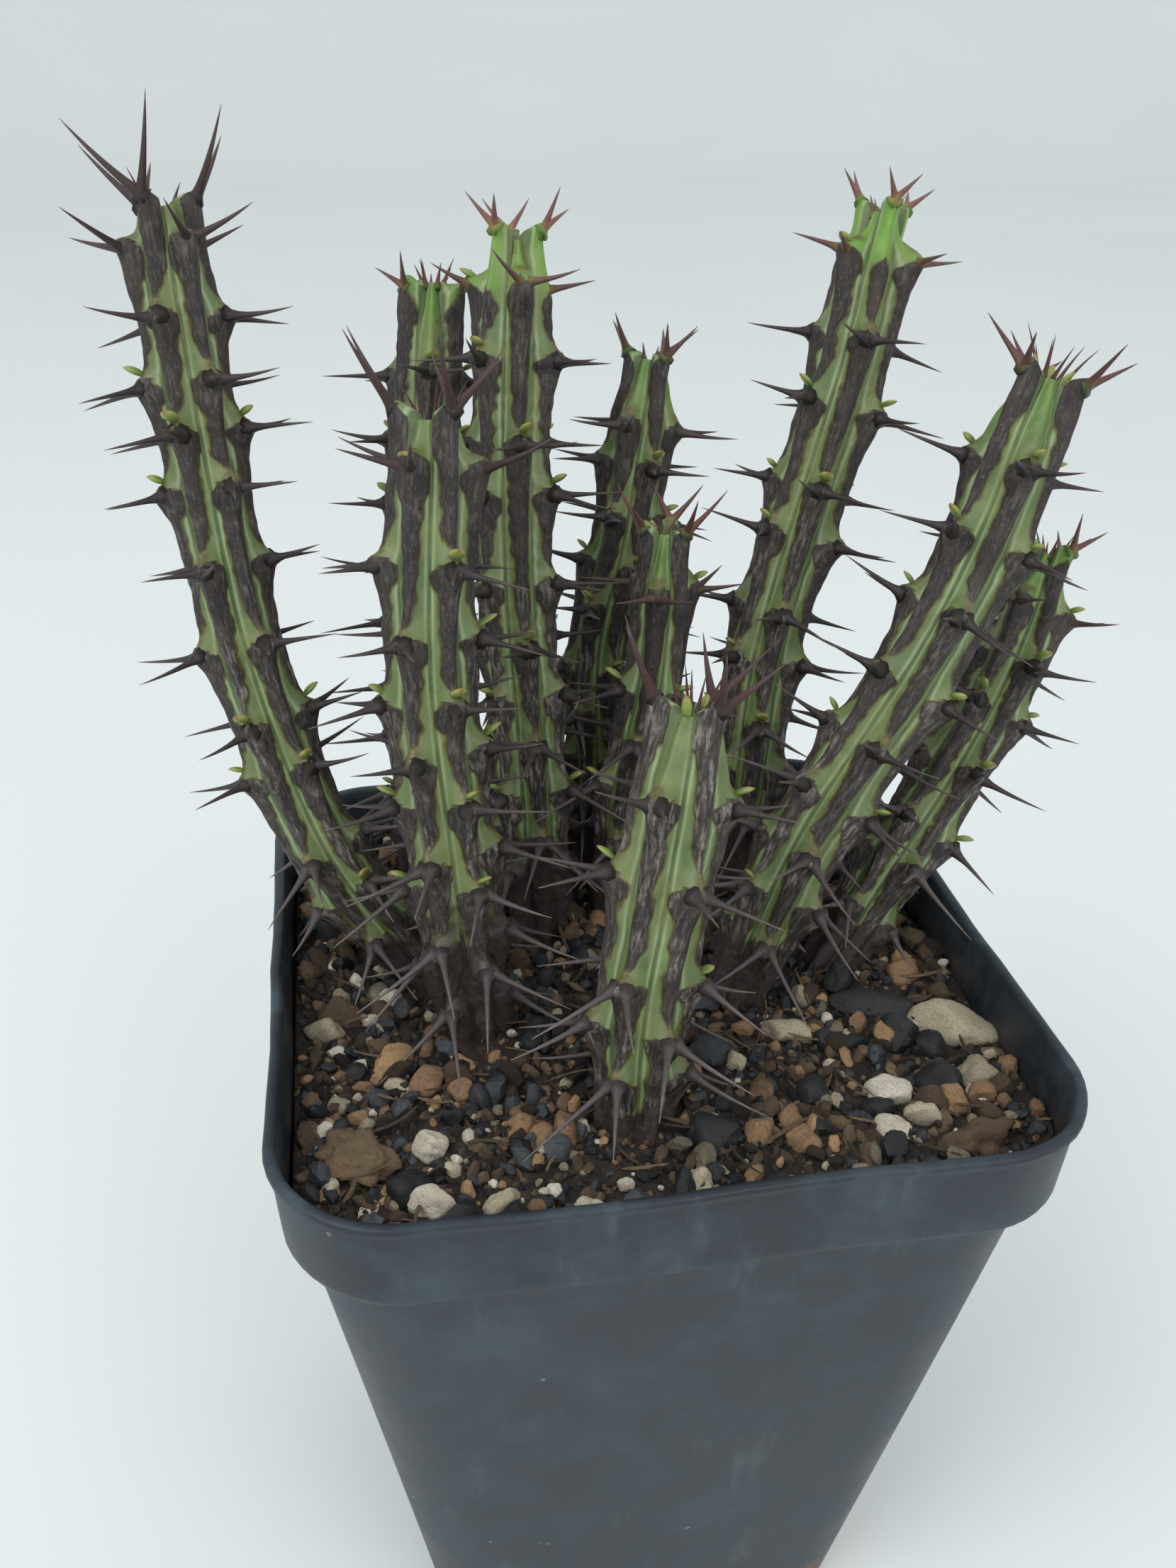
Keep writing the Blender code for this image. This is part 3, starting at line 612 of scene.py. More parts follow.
def rib_fields(along, arc, heads, length, full, scale):
    """Head swelling, shield distance and cap share over one rib's surface."""
    swell = np.zeros_like(arc)
    shield = np.full_like(arc, -3.0 * MM)
    cap = np.zeros_like(arc)
    for number, head in enumerate(heads):
        below = heads[number + 1] if number + 1 < len(heads) else -4.0 * MM
        reach = head - below - 1.9 * MM
        drop = head - along
        under = np.exp(-np.clip(drop, 0.0, None) / (2.7 * MM))
        over = np.exp(-(np.clip(-drop, 0.0, None) / (1.7 * MM)) ** 1.7)
        profile = np.where(drop > 0.0, under, over)
        young = smooth(-1.0 * MM, 5.0 * MM, length - head)
        width = 1.75 * MM * (1.0 + 0.25 * smooth(0.0, 4.0 * MM, drop))
        bump = profile * np.exp(-(np.abs(arc) / width) ** 2.2)
        swell = np.maximum(swell, bump * (0.65 + 0.35 * young))
        half = shield_width(drop, max(reach, 3.0 * MM)) * scale
        above = (1.0 + 1.4 * (1.0 - smooth(0.0, 6.0 * MM, length - head))) * MM
        half = np.maximum(half, np.where(drop < 0.0, 1.3 * MM, 0.0) * scale)
        inside = (drop > -above) & (drop < reach)
        gap = np.where(inside, half - np.abs(arc), -3.0 * MM)
        ends = np.minimum(drop + above, reach - drop)
        gap = np.minimum(gap, np.maximum(ends, -3.0 * MM) + 0.3 * MM)
        shield = np.maximum(shield, gap)
        away = np.hypot((drop + 1.5 * MM) / 1.3, arc / 1.2)
        cap = np.maximum(cap, 1.0 - away / (1.5 * MM))
    return swell, shield, np.clip(cap, 0.0, 1.0)


def narrowing(crown, left):
    """How much slimmer a stem is at a distance below its tip."""
    return 1.0 - (0.10 + 0.32 * crown[2]) * (1.0 - smooth(0.0, 0.8 * CROWN_REACH, left))


def horn_rise(full, left):
    """How far a head leans up along the stem at a distance below the tip."""
    return 0.85 * full * (1.0 - smooth(0.0, CROWN_REACH, left))


def stem_skin(skin, line, full, turn, heads, cork_height, crown, seed):
    """The ribbed body of a stem, with the fields that its colours follow."""
    length = line.length
    rows = int((length + ROOT_DEPTH) / ROW_LENGTH)
    inward = np.concatenate((np.zeros(rows), np.linspace(0.04, 0.985, CAP_ROWS)))
    along = np.concatenate((np.linspace(-ROOT_DEPTH, length, rows),
                            np.full(CAP_ROWS, length)))
    rows += CAP_ROWS
    across = RIBS * COLUMNS
    angle = (np.arange(across) - COLUMNS / 2) * math.tau / across
    rib_of = np.arange(across) // COLUMNS
    offset = angle - rib_of * math.tau / RIBS
    crest = crest_radius(full, along, length) * CREST_SHARE
    crest *= narrowing(crown, length - along)
    half_turn = math.pi / RIBS
    soft = np.sqrt(offset ** 2 + CREST_BEND ** 2) - CREST_BEND
    soft *= half_turn / (math.sqrt(half_turn ** 2 + CREST_BEND ** 2) - CREST_BEND)
    furrow = crest * FURROW_RATIO
    radius = (crest * furrow)[:, None] * math.sin(half_turn) / (
        crest[:, None] * np.sin(soft) + furrow[:, None] * np.sin(half_turn - soft))
    arc = offset[None, :] * crest[:, None]
    swell = np.zeros_like(radius)
    shield = np.zeros_like(radius)
    cap = np.zeros_like(radius)
    spread = along[:, None] + np.zeros_like(radius)
    growth, side, other = line.axes(along)
    ring = (side[:, None] * np.cos(angle + turn)[None, :, None]
            + other[:, None] * np.sin(angle + turn)[None, :, None])
    centre = line.point(along)
    rough_points = (centre[:, None] + ring * radius[..., None]).reshape(-1, 3)
    wave = ripples(rough_points, 4.5 * MM, seed).reshape(radius.shape)
    lump = ripples(rough_points, 2.0 * MM, seed + 1).reshape(radius.shape)
    low = 1.0 - smooth(0.0, 1.0, (centre[:, 2] - SOIL_LEVEL) / (cork_height * MM * 1.6))
    scale = (1.0 + 0.35 * low)[:, None] * np.ones_like(radius)
    for rib in range(RIBS):
        part = rib_of == rib
        fields = rib_fields(spread[:, part] + 0.25 * MM * wave[:, part],
                            arc[:, part] + (0.14 * lump + 0.16 * wave)[:, part] * MM,
                            heads[rib], length, full, scale[:, part])
        swell[:, part], shield[:, part], cap[:, part] = fields
    left = length - along
    bare = 1.0 - smooth(0.6, 1.3, left / (crown[3] * MM + 0.01 * MM))
    shield -= (3.0 * MM * bare)[:, None] + (5.0 * MM * inward)[:, None]
    swell *= (1.0 - inward)[:, None] ** 1.5
    radius = radius + swell * full * 0.40
    radius += 0.13 * MM * smooth(-0.15 * MM, 0.25 * MM, shield)
    radius += (0.07 * wave + 0.05 * lump) * MM
    away = (half_turn - np.abs(offset))[None, :] * radius
    radius -= 0.16 * MM * np.exp(-(away / (0.28 * MM)) ** 2)
    radius *= (1.0 - inward)[:, None]
    rise = swell * horn_rise(full, left)[:, None]
    rise += (0.35 * np.sin(inward * math.pi) - 1.5 * inward ** 2)[:, None] * MM
    points = (centre[:, None] + ring * radius[..., None]
              + growth[:, None] * rise[..., None]).reshape(-1, 3)
    height = (centre[:, 2] - SOIL_LEVEL) / (cork_height * MM)
    cork = np.repeat(1.0 - smooth(0.15, 1.3, height), across)
    old = np.repeat(1.0 - smooth(0.15, 0.85, along / length), across)
    if cork_height < 6.0:
        old = np.maximum(old, 0.75)
    fresh = crown[2] * (1.0 - smooth(0.2, 1.0, left / (1.2 * CROWN_REACH)))
    skin.add(points, tube_faces(rows, across), 0,
             shield=shield.ravel() / MM, furrow=away.ravel() / MM, cap=cap.ravel(),
             fresh=np.repeat(fresh, across), cork=cork, old=old,
             arc=(arc + rib_of[None, :] * 7.3 * MM).ravel() / MM,
             along=spread.ravel() / MM, seed=float(seed))


def free_share(path, name, lines):
    """Share of a spine's path that stays clear of other stems, soil and pot."""
    others = np.concatenate([line.points[::2] for other, (line, full) in lines.items()
                             if other != name])
    limits = np.concatenate([np.full(len(line.points[::2]), full * 1.12)
                             for other, (line, full) in lines.items() if other != name])
    wall = RIM_WIDTH / 2 - WALL - 1.2 * MM
    for step, point in enumerate(path):
        if (np.linalg.norm(others - point, axis=1) < limits).any():
            break
        if point[2] < SOIL_LEVEL + 0.4 * MM:
            break
        if point[2] < POT_HEIGHT + 1.0 * MM and max(abs(point[0]), abs(point[1])) > wall:
            break
    else:
        return 1.0
    return max(step / len(path), 0.12)


def add_spine(skin, start, direction, lift, length, radius, flare, values, name, lines):
    """One tapered, slightly curved spine with a broad foot."""
    share = np.linspace(0.0, 1.0, 11)
    path = start + direction * (share * length)[:, None]
    path = path + lift * (share ** 2 * length)[:, None]
    free = free_share(path[2:], name, lines)
    if free < 1.0:
        path = start + (path - start) * max(free, 0.25)
        length *= max(free, 0.25)
    taper = (1 - share) ** 0.85 * 0.55 + 0.03
    foot = flare * np.exp(-share * length / (0.85 * MM))
    points, faces, part = tube(path, radius * (taper + foot), 8)
    skin.add(points, faces, 1, share=part, **values)


def add_leaf(skin, start, direction, up, length, width):
    """One small pointed fleshy leaf."""
    share = np.linspace(0.0, 1.0, 9)
    path = start + direction * (share * length)[:, None]
    path = path + up * (np.sin(share * 1.8) * length * 0.16)[:, None]
    radii = width * np.sin(np.clip(share * 0.94 + 0.06, 0, 1) * math.pi) ** 0.7 * 0.5
    points, faces, part = tube(path, np.maximum(radii, 0.03 * MM), 10, 0.45, up)
    skin.add(points, faces, 2, share=part)


def stem_spines(skin, line, full, turn, heads, crown, name, lines, rng):
    """The paired spines and small leaves of every head."""
    length = line.length
    for rib in range(RIBS):
        middle = turn + math.tau * rib / RIBS
        for head in heads[rib]:
            growth, side, other = (axis[0] for axis in line.axes(head))
            outward = side * math.cos(middle) + other * math.sin(middle)
            sideways = np.cross(growth, outward)
            left = length - head
            crest = crest_radius(full, head, length) * narrowing(crown, left)
            top = max(0.0, 1.0 - left / TIP_ZONE)
            low = max(0.0, 1.0 - head / LOW_ZONE)
            lift = -0.05 - 0.75 * low
            if top > 0.0:
                lift = 1.9 * top ** 2 - 0.05
            base = (line.point(head)[0] + outward * (crest * 0.93 + full * 0.33)
                    + growth * horn_rise(full, left) * 0.85)
            wanted = (8.4 + 4.2 * low) * MM
            if top > 0.0:
                wanted += (crown[0] * MM - wanted) * min(1.0, 1.5 * top)
            for hand in (-1.0, 1.0):
                jitter = rng.normal(size=3) * 0.09
                spread = 0.62 * (1.0 + 0.8 * top) + rng.normal() * 0.08
                direction = outward + sideways * hand * spread + growth * lift + jitter
                direction /= np.linalg.norm(direction)
                curve = growth * (0.10 + 0.10 * top) * rng.uniform(-0.3, 1.2)
                start = (base + sideways * hand * crest * 0.15
                         - direction * (0.8 + 0.8 * top) * MM)
                size = wanted * rng.uniform(0.85, 1.12)
                radius = (0.74 + 0.30 * top - 0.05 * low) * MM
                radius *= 0.55 + 0.45 * min(1.0, wanted / (8.0 * MM))
                values = {"old": min(1.0, low * 1.8),
                          "young": min(1.0, 1.6 * top) * crown[1],
                          "fresh": top * crown[2]}
                add_spine(skin, start, direction, curve, size, radius,
                          1.2 - 0.75 * top, values, name, lines)
            if left > 4.0 * MM and head > 14.0 * MM and rng.random() < 0.55:
                spot = (line.point(head + 1.5 * MM)[0]
                        + outward * (crest * 1.02))
                pointing = outward + growth * 0.35 + sideways * rng.uniform(-0.4, 0.4)
                pointing /= np.linalg.norm(pointing)
                add_leaf(skin, spot, pointing, growth, rng.uniform(1.8, 2.8) * MM,
                         rng.uniform(1.4, 2.0) * MM)


def crown_growth(skin, line, full, turn, crown, name, lines, rng):
    """Thin young spines and young leaves round the growing point."""
    growth, side, other = (axis[0] for axis in line.axes(line.length))
    for number in range(crown[4]):
        angle = turn + math.tau * (number + rng.uniform(-0.25, 0.25)) / crown[4]
        outward = side * math.cos(angle) + other * math.sin(angle)
        start = (line.point(line.length)[0] + outward * full * rng.uniform(0.16, 0.34)
                 - growth * 0.6 * MM)
        direction = growth + outward * rng.uniform(0.1, 0.5)
        direction /= np.linalg.norm(direction)
        add_spine(skin, start, direction, outward * 0.12,
                  crown[5] * MM * rng.uniform(0.7, 1.15), 0.5 * MM, 0.5,
                  {"young": min(1.0, crown[1] + 0.35), "fresh": crown[2] * 0.6},
                  name, lines)
    for number in range(crown[6]):
        angle = turn + math.tau * (number + 0.35) / crown[6]
        outward = side * math.cos(angle) + other * math.sin(angle)
        start = line.point(line.length)[0] + outward * full * 0.30 - growth * 0.8 * MM
        direction = growth * 0.9 + outward * rng.uniform(0.35, 0.7)
        direction /= np.linalg.norm(direction)
        add_leaf(skin, start, direction, growth, crown[7] * MM * rng.uniform(0.8, 1.1),
                 crown[7] * MM * 0.42)


def build_stems():
    """Every stem as one piece, with its solid in the part hidden."""
    materials = [skin_material(), spine_material(), leaf_material()]
    lines = {name: (StemLine(design[5]), design[0] * MM)
             for name, design in STEMS.items()}
    for seed, (name, design) in enumerate(STEMS.items()):
        full = design[0] * MM
        turn = math.radians(design[1])
        line = lines[name][0]
        heads = stem_heads(line, full, design)
        rng = np.random.default_rng(100 + seed)
        skin = Skin("shield", "furrow", "cap", "fresh", "cork", "old", "arc",
                    "along", "seed", "share", "young")
        crown = CROWNS[name]
        stem_skin(skin, line, full, turn, heads, design[2], crown, seed * 10)
        stem_spines(skin, line, full, turn, heads, crown, name, lines, rng)
        crown_growth(skin, line, full, turn, crown, name, lines, rng)
        item = skin.build(name + "_plant", materials)
        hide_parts(name)


# ---------------------------------------------------------------- pot

def corner_radius(height):
    """Corner radius of the outside at a height."""
    share = height / POT_HEIGHT
    return CORNER_RADIUS_BASE + (CORNER_RADIUS_TOP - CORNER_RADIUS_BASE) * share


def outline(half, radius, height):
    """Rounded square with points along its sides too."""
    points = []
    for quarter in range(4):
        middle = math.radians(45.0 + 90.0 * quarter)
        centre = np.array((math.copysign(half - radius, math.cos(middle)),
                           math.copysign(half - radius, math.sin(middle)), height))
        for step in range(CORNER_STEPS + 1):
            angle = math.radians(90.0 * (quarter + step / CORNER_STEPS))
            points.append(centre + radius * np.array((math.cos(angle),
                                                      math.sin(angle), 0.0)))
        side = math.radians(90.0 * (quarter + 1))
        after = np.array((-math.sin(side), math.cos(side), 0.0))
        run = 2 * (half - radius)
        for step in range(1, SIDE_STEPS):
            points.append(points[-1] + after * run / SIDE_STEPS)
    return np.array(points)


def ring_at(height, half, inset=0.0):
    """Outline moved inwards by an inset."""
    return outline(half - inset, max(corner_radius(height) - inset, 1.0 * MM), height)


def pot_profile():
    """Heights, half widths and insets, up the outside and down the inside."""
    foot = POT_HEIGHT - COLLAR_HEIGHT
    bead = POT_HEIGHT - LIP_HEIGHT
    rim = RIM_WIDTH / 2
    thick = WALL + LIP_PROUD
    rows = [(0.0, body_half(0.0), 0.9 * MM), (0.2 * MM, body_half(0.0), 0.35 * MM),
            (0.8 * MM, body_half(0.0), 0.0)]
    for height in np.linspace(2.0 * MM, foot - 0.9 * MM, 34):
        rows.append((height, body_half(height), 0.0))
    rows += [(foot - 0.35 * MM, body_half(foot), -0.05 * MM),
             (foot - 0.05 * MM, body_half(foot), -0.40 * MM),
             (foot + 0.15 * MM, collar_half(foot), 0.55 * MM),
             (foot + 0.45 * MM, collar_half(foot), 0.12 * MM),
             (foot + 0.9 * MM, collar_half(foot), -0.05 * MM),
             (foot + 1.5 * MM, collar_half(foot + 1.5 * MM), 0.0)]
    for height in np.linspace(foot + 2.2 * MM, bead - 0.8 * MM, 9):
        rows.append((height, collar_half(height), 0.0))
    rows += [(bead - 0.3 * MM, collar_half(bead), 0.05 * MM),
             (bead, collar_half(bead), -0.12 * MM), (bead + 0.3 * MM, rim, 0.04 * MM),
             (POT_HEIGHT - 0.5 * MM, rim, 0.0), (POT_HEIGHT - 0.2 * MM, rim, 0.12 * MM),
             (POT_HEIGHT, rim, 0.45 * MM), (POT_HEIGHT, rim, thick - 0.45 * MM),
             (POT_HEIGHT - 0.2 * MM, rim, thick - 0.12 * MM),
             (POT_HEIGHT - 0.5 * MM, rim, thick)]
    for height in np.linspace(bead, foot + 1.6 * MM, 9):
        rows.append((height, collar_half(height), WALL))
    rows.append((foot + 0.7 * MM, body_half(foot), WALL - 0.5 * MM))
    for height in np.linspace(foot - 0.1 * MM, FLOOR + 0.8 * MM, 12):
        rows.append((height, body_half(height), WALL))
    rows.append((FLOOR, body_half(FLOOR), WALL + 0.8 * MM))
    return rows


def pot_material():
    """Dusty blue-grey black moulded plastic."""
    paint = Paint("nursery_pot_plastic", 0.5)
    paint.shader.inputs["Specular IOR Level"].default_value = 0.4
    place = paint.place()
    x, y, z = split(paint, place)
    cloud = paint.noise(place, 95.0, 7.0, 0.68)
    wide = paint.noise(place, 24.0, 3.0, 0.5)
    fine = paint.noise(place, 1900.0, 3.0, 0.6)
    wiped = paint.noise(paint.place((1.0, 1.0, 0.22)), 160.0, 5.0, 0.65)
    colour = paint.ramp(wide, (0.3, "1d242c"), (0.7, "252d36"))
    dust = paint.times(paint.step(cloud, 0.38, 0.74), 0.42)
    colour = paint.mix(dust, colour, "52636c")
    scrape = paint.times(paint.step(wiped, 0.56, 0.72), 0.30)
    colour = paint.mix(scrape, colour, "5d6a70")
    specks = paint.step(paint.cells(place, 190.0), 0.075, 0.045)
    picked = paint.step(paint.noise(place, 55.0, 2.0), 0.56, 0.62)
    colour = paint.mix(paint.times(paint.times(specks, picked), 0.5), colour, "8d979a")
    crust = paint.plus(paint.step(z, 0.021, 0.004), paint.sway(cloud, 2.2))
    front = paint.step(paint.plus(x, paint.times(y, -0.9)), 0.012, 0.034)
    crust = paint.times(paint.step(crust, 0.75, 1.15), front)
    earth = paint.ramp(fine, (0.3, "6b5644"), (0.7, "a08c78"))
    colour = paint.mix(paint.times(crust, 0.8), colour, earth)
    inner = paint.times(paint.value("inner"), paint.step(z, SOIL_LEVEL + 5.0 * MM, SOIL_LEVEL + 0.5 * MM))
    stain = paint.times(inner, paint.step(cloud, 0.40, 0.62))
    colour = paint.layer(colour, stain, 0.75, "4a3a2e")
    rough = paint.plus(paint.step(cloud, 0.35, 0.75, 0.40, 0.62), paint.times(crust, 0.3))
    height = paint.plus(paint.times(fine, 0.4), paint.times(wiped, 0.6))
    paint.bump(height, 0.00012, 0.7)
    return paint.finish(colour, rough)


def split(paint, vector):
    """The three numbers of a vector."""
    node = paint.node("ShaderNodeSeparateXYZ")
    paint.feed(node.inputs["Vector"], vector)
    return node.outputs


def build_pot():
    """Pot with rounded lip, soft collar step, slight warp and drain holes."""
    rows = pot_profile()
    rings = np.array([ring_at(*row) for row in rows])
    count = rings.shape[1]
    inside = np.arange(len(rows)) > [row[0] for row in rows].index(POT_HEIGHT)
    points = rings.reshape(-1, 3)
    outward = points * (1.0, 1.0, 0.0)
    outward /= np.linalg.norm(outward, axis=1)[:, None]
    height = points[:, 2] / POT_HEIGHT
    around = points * (1.0, 1.0, 0.15)
    warp = ripples(around, 34.0 * MM, 5) * 0.22 + ripples(around, 13.0 * MM, 6) * 0.07
    points = points + outward * (warp * MM * smooth(0.2, 1.0, height))[:, None]
    sag = ripples(around, 26.0 * MM, 7) * 0.16 * MM * smooth(0.9, 1.0, height)
    points[:, 2] -= np.abs(sag)
    skin = Skin("inner")
    skin.add(points, tube_faces(len(rows), count), 0, inner=np.repeat(inside.astype(float), count))
    pot = skin.build("nursery_pot", [pot_material()])
    reach = BASE_WIDTH / 2 - DRAIN_HOLE_EDGE
    for across in (-reach, reach):
        for along in (-reach, reach):
            drill_hole(pot, across, along)
    pot.data.set_sharp_from_angle(angle=math.radians(50.0))
    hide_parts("pot")


def drill_hole(pot, x, y):
    """Cut one round drain hole through the pot's floor."""
    work = bmesh.new()
    bmesh.ops.create_cone(work, cap_ends=True, segments=40,
                          radius1=DRAIN_HOLE_DIAMETER / 2,
                          radius2=DRAIN_HOLE_DIAMETER / 2, depth=4 * FLOOR)
    mesh = bpy.data.meshes.new("drill")
    work.to_mesh(mesh)
    work.free()
    drill = put("drill", mesh)
    drill.location = (x, y, FLOOR / 2)
    bpy.context.view_layer.update()
    bpy.context.view_layer.objects.active = pot
    modifier = pot.modifiers.new("hole", "BOOLEAN")
    modifier.operation = "DIFFERENCE"
    modifier.solver = "EXACT"
    modifier.object = drill
    bpy.ops.object.modifier_apply(modifier=modifier.name)
    bpy.data.objects.remove(drill, do_unlink=True)


# ---------------------------------------------------------------- soil and stones

def soil_height(points):
    """Height of the crumbled soil surface under points in x and y."""
    flat = np.column_stack((points[:, 0], points[:, 1], np.zeros(len(points))))
    broad = ripples(flat, 17.0 * MM, 11) * 0.45
    small = ripples(flat, 5.0 * MM, 12) * 0.20
    return SOIL_LEVEL + (broad + small) * MM


def soil_material():
    """Dark moist mix of peat, bark dust and grit."""
    paint = Paint("potting_mix", 0.92)
    place = paint.place()
    coarse = paint.noise(place, 420.0, 6.0, 0.65)
    fine = paint.noise(place, 2200.0, 4.0, 0.65)
    colour = paint.ramp(coarse, (0.30, "191615"), (0.52, "2e2621"), (0.68, "4a3a2e"), (0.85, "6a5039"))
    tone = paint.ramp(fine, (0.3, (0.7, 0.7, 0.7)), (0.7, (1.15, 1.12, 1.1)))
    colour = paint.mix(1.0, colour, tone, "MULTIPLY")
    paint.bump(paint.plus(coarse, paint.times(fine, 0.4)), 0.0008)
    return paint.finish(colour)


def grain_material(name, stops, pore_scale, roughness, pore_depth):
    """Porous grains whose colour varies from grain to grain."""
    paint = Paint(name, roughness)
    place = paint.place()
    patch = paint.noise(place, 700.0, 5.0, 0.6)
    fine = paint.noise(place, pore_scale, 4.0, 0.7)
    tone = paint.plus(paint.value("tone"), paint.sway(patch, 0.35))
    colour = paint.ramp(tone, *stops)
    shade = paint.ramp(fine, (0.30, (0.55, 0.52, 0.50)), (0.48, (0.95, 0.95, 0.95)),
                       (0.75, (1.12, 1.12, 1.12)))
    colour = paint.mix(1.0, colour, shade, "MULTIPLY")
    paint.bump(fine, pore_depth)
    return paint.finish(colour)


def stone_materials():
    """Materials of the grains and pebbles by kind."""
    return {
        "pumice": grain_material("pumice_grain", (
            (0.0, "6b6554"), (0.35, "988f78"), (0.65, "bcb298"),
            (1.0, "ddd7c8")), 3200.0, 0.9, 0.0003),
        "akadama": grain_material("baked_clay_grain", (
            (0.0, "3a3025"), (0.35, "5a4938"), (0.7, "7f654c"),
            (1.0, "a98963")), 2600.0, 0.92, 0.0002),
        "charcoal": grain_material("slate_grain", (
            (0.0, "0f1113"), (0.4, "1b1e21"), (0.75, "2b2f33"),
            (1.0, "41474b")), 1800.0, 0.62, 0.00015),
        "crumb": grain_material("bark_crumb", (
            (0.0, "181411"), (0.35, "2f261f"), (0.7, "4f4133"),
            (1.0, "75634b")), 2400.0, 0.95, 0.0003),
    }


def ball(subdivisions):
    """Directions and faces of a subdivided icosahedron."""
    work = bmesh.new()
    bmesh.ops.create_icosphere(work, subdivisions=subdivisions, radius=1.0)
    points = np.array([vertex.co[:] for vertex in work.verts])
    faces = [tuple(vertex.index for vertex in face.verts) for face in work.faces]
    work.free()
    return points / np.linalg.norm(points, axis=1)[:, None], faces


def facet_radius(directions, rng, planes, softness):
    """Radius of a random convex stone in each direction."""
    normals = rng.normal(size=(planes, 3))
    normals /= np.linalg.norm(normals, axis=1)[:, None]
    normals = np.concatenate((normals, -normals))
    depth = rng.uniform(0.72, 1.0, 2 * planes)
    facing = np.clip(directions @ normals.T, 0.05, None) / depth
    radius = (facing ** softness).sum(axis=1) ** (-1.0 / softness)
    return np.minimum(radius, 1.2)


def random_turn(rng):
    """Random rotation, which may also mirror."""
    matrix, _ = np.linalg.qr(rng.normal(size=(3, 3)))
    return matrix


def inside_pot(x, y, margin):
    """True where a grain lies inside the pot's rounded inner wall."""
    half = soil_half() - margin
    radius = CORNER_RADIUS_TOP - WALL
    corner_x = abs(x) - (half - radius)
    corner_y = abs(y) - (half - radius)
    if max(abs(x), abs(y)) > half:
        return False
    return min(corner_x, corner_y) < 0.0 or math.hypot(corner_x, corner_y) < radius


def scatter_grains(pebbles):
    """Thousands of small grains over the soil, in one piece for each kind."""
    rng = np.random.default_rng(31)
    kinds = ["pumice", "akadama", "charcoal", "crumb"]
    piles = {kind: Skin("tone") for kind in kinds}
    balls = {level: ball(level) for level in (1, 2, 3)}
    # count, size from and to, seat from and to in millimetres, detail, share of each kind
    layers = [
        (5600, 0.34, 0.70, -0.10, 0.20, 1, (0.07, 0.17, 0.30, 0.46)),
        (1700, 0.70, 1.20, 0.00, 0.45, 2, (0.13, 0.25, 0.36, 0.26)),
        (330, 1.20, 1.90, 0.30, 0.90, 3, (0.18, 0.30, 0.38, 0.14)),
        (60, 1.90, 2.60, 0.40, 1.00, 3, (0.12, 0.18, 0.60, 0.10)),
    ]
    half = soil_half()
    for count, small, large, low, high, level, shares in layers:
        spots = rng.uniform(-half, half, size=(count, 2))
        floors = soil_height(spots)
        for spot, floor in zip(spots, floors):
            size = rng.uniform(small, large) * MM
            kind = kinds[rng.choice(4, p=shares)]
            if not inside_pot(spot[0], spot[1], size * 0.8):
                continue
            near = np.hypot(*(pebbles[:, :2] - spot).T) < pebbles[:, 2] + size * 0.5
            if level > 1 and near.any():
                continue
            directions, faces = balls[level]
            radius = facet_radius(directions, rng, 7, 15.0)
            if level > 1:
                radius += ripples(directions, 0.7, int(rng.integers(1 << 30)), 5) * 0.05
            stretch = rng.uniform(0.65, 1.25, 3)
            if kind == "crumb":
                stretch[0] *= 1.5
                stretch[1] *= 0.7
            shape = directions * radius[:, None] * stretch * size
            shape = shape @ random_turn(rng).T
            centre = (spot[0], spot[1], floor + rng.uniform(low, high) * MM)
            piles[kind].add(shape + centre, faces, 0, tone=rng.random())
    return piles


def build_fibres(pile, rng):
    """Curved slivers of bark and dry root among the grains."""
    half = soil_half() - 4.0 * MM
    for _ in range(FIBRES):
        spot = rng.uniform(-half, half, size=2)
        heading = rng.uniform(0.0, math.tau)
        length = rng.uniform(2.5, 7.5) * MM
        share = np.linspace(-0.5, 0.5, 9)
        bend = rng.uniform(-0.5, 0.5)
        x = spot[0] + np.cos(heading + bend * share) * share * length
        y = spot[1] + np.sin(heading + bend * share) * share * length
        z = (SOIL_LEVEL + 1.0 * MM + rng.uniform(-0.1, 0.7) * MM
             + share * length * rng.uniform(-0.18, 0.18))
        radii = rng.uniform(0.12, 0.30) * MM * (1.0 - (2 * share) ** 4 * 0.7)
        points, faces, _ = tube(np.column_stack((x, y, z)), radii, 6, 0.6)
        pile.add(points, faces, 0, tone=rng.uniform(0.35, 1.0))


def build_soil(materials):
    """Crumbled soil body down to the pot's floor."""
    foot = POT_HEIGHT - COLLAR_HEIGHT
    gap = WALL + CLEARANCE
    low = FLOOR + CLEARANCE
    step_top = foot + STEP_HEIGHT + WALL / 2 + 1.5 * CLEARANCE
    rings = [ring_at(low, body_half(low), gap + 1.0 * MM),
             ring_at(low + 1.0 * MM, body_half(low), gap)]
    for height in np.linspace(6.0 * MM, step_top - 2 * STEP_HEIGHT, 8):
        rings.append(ring_at(height, body_half(height), gap))
    rings.append(ring_at(step_top, collar_half(step_top), gap))
    edge = ring_at(SOIL_LEVEL, collar_half(SOIL_LEVEL), gap)
    for share in np.linspace(1.0, 0.004, SOIL_RINGS):
        ring = edge * (share, share, 1.0)
        ring[:, 2] = soil_height(ring)
        rings.append(ring)
    skin = Skin()
    skin.add(np.concatenate(rings), tube_faces(len(rings), len(edge)), 0)
    soil = skin.build("potting_soil", [materials["soil"]])
    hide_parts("soil")


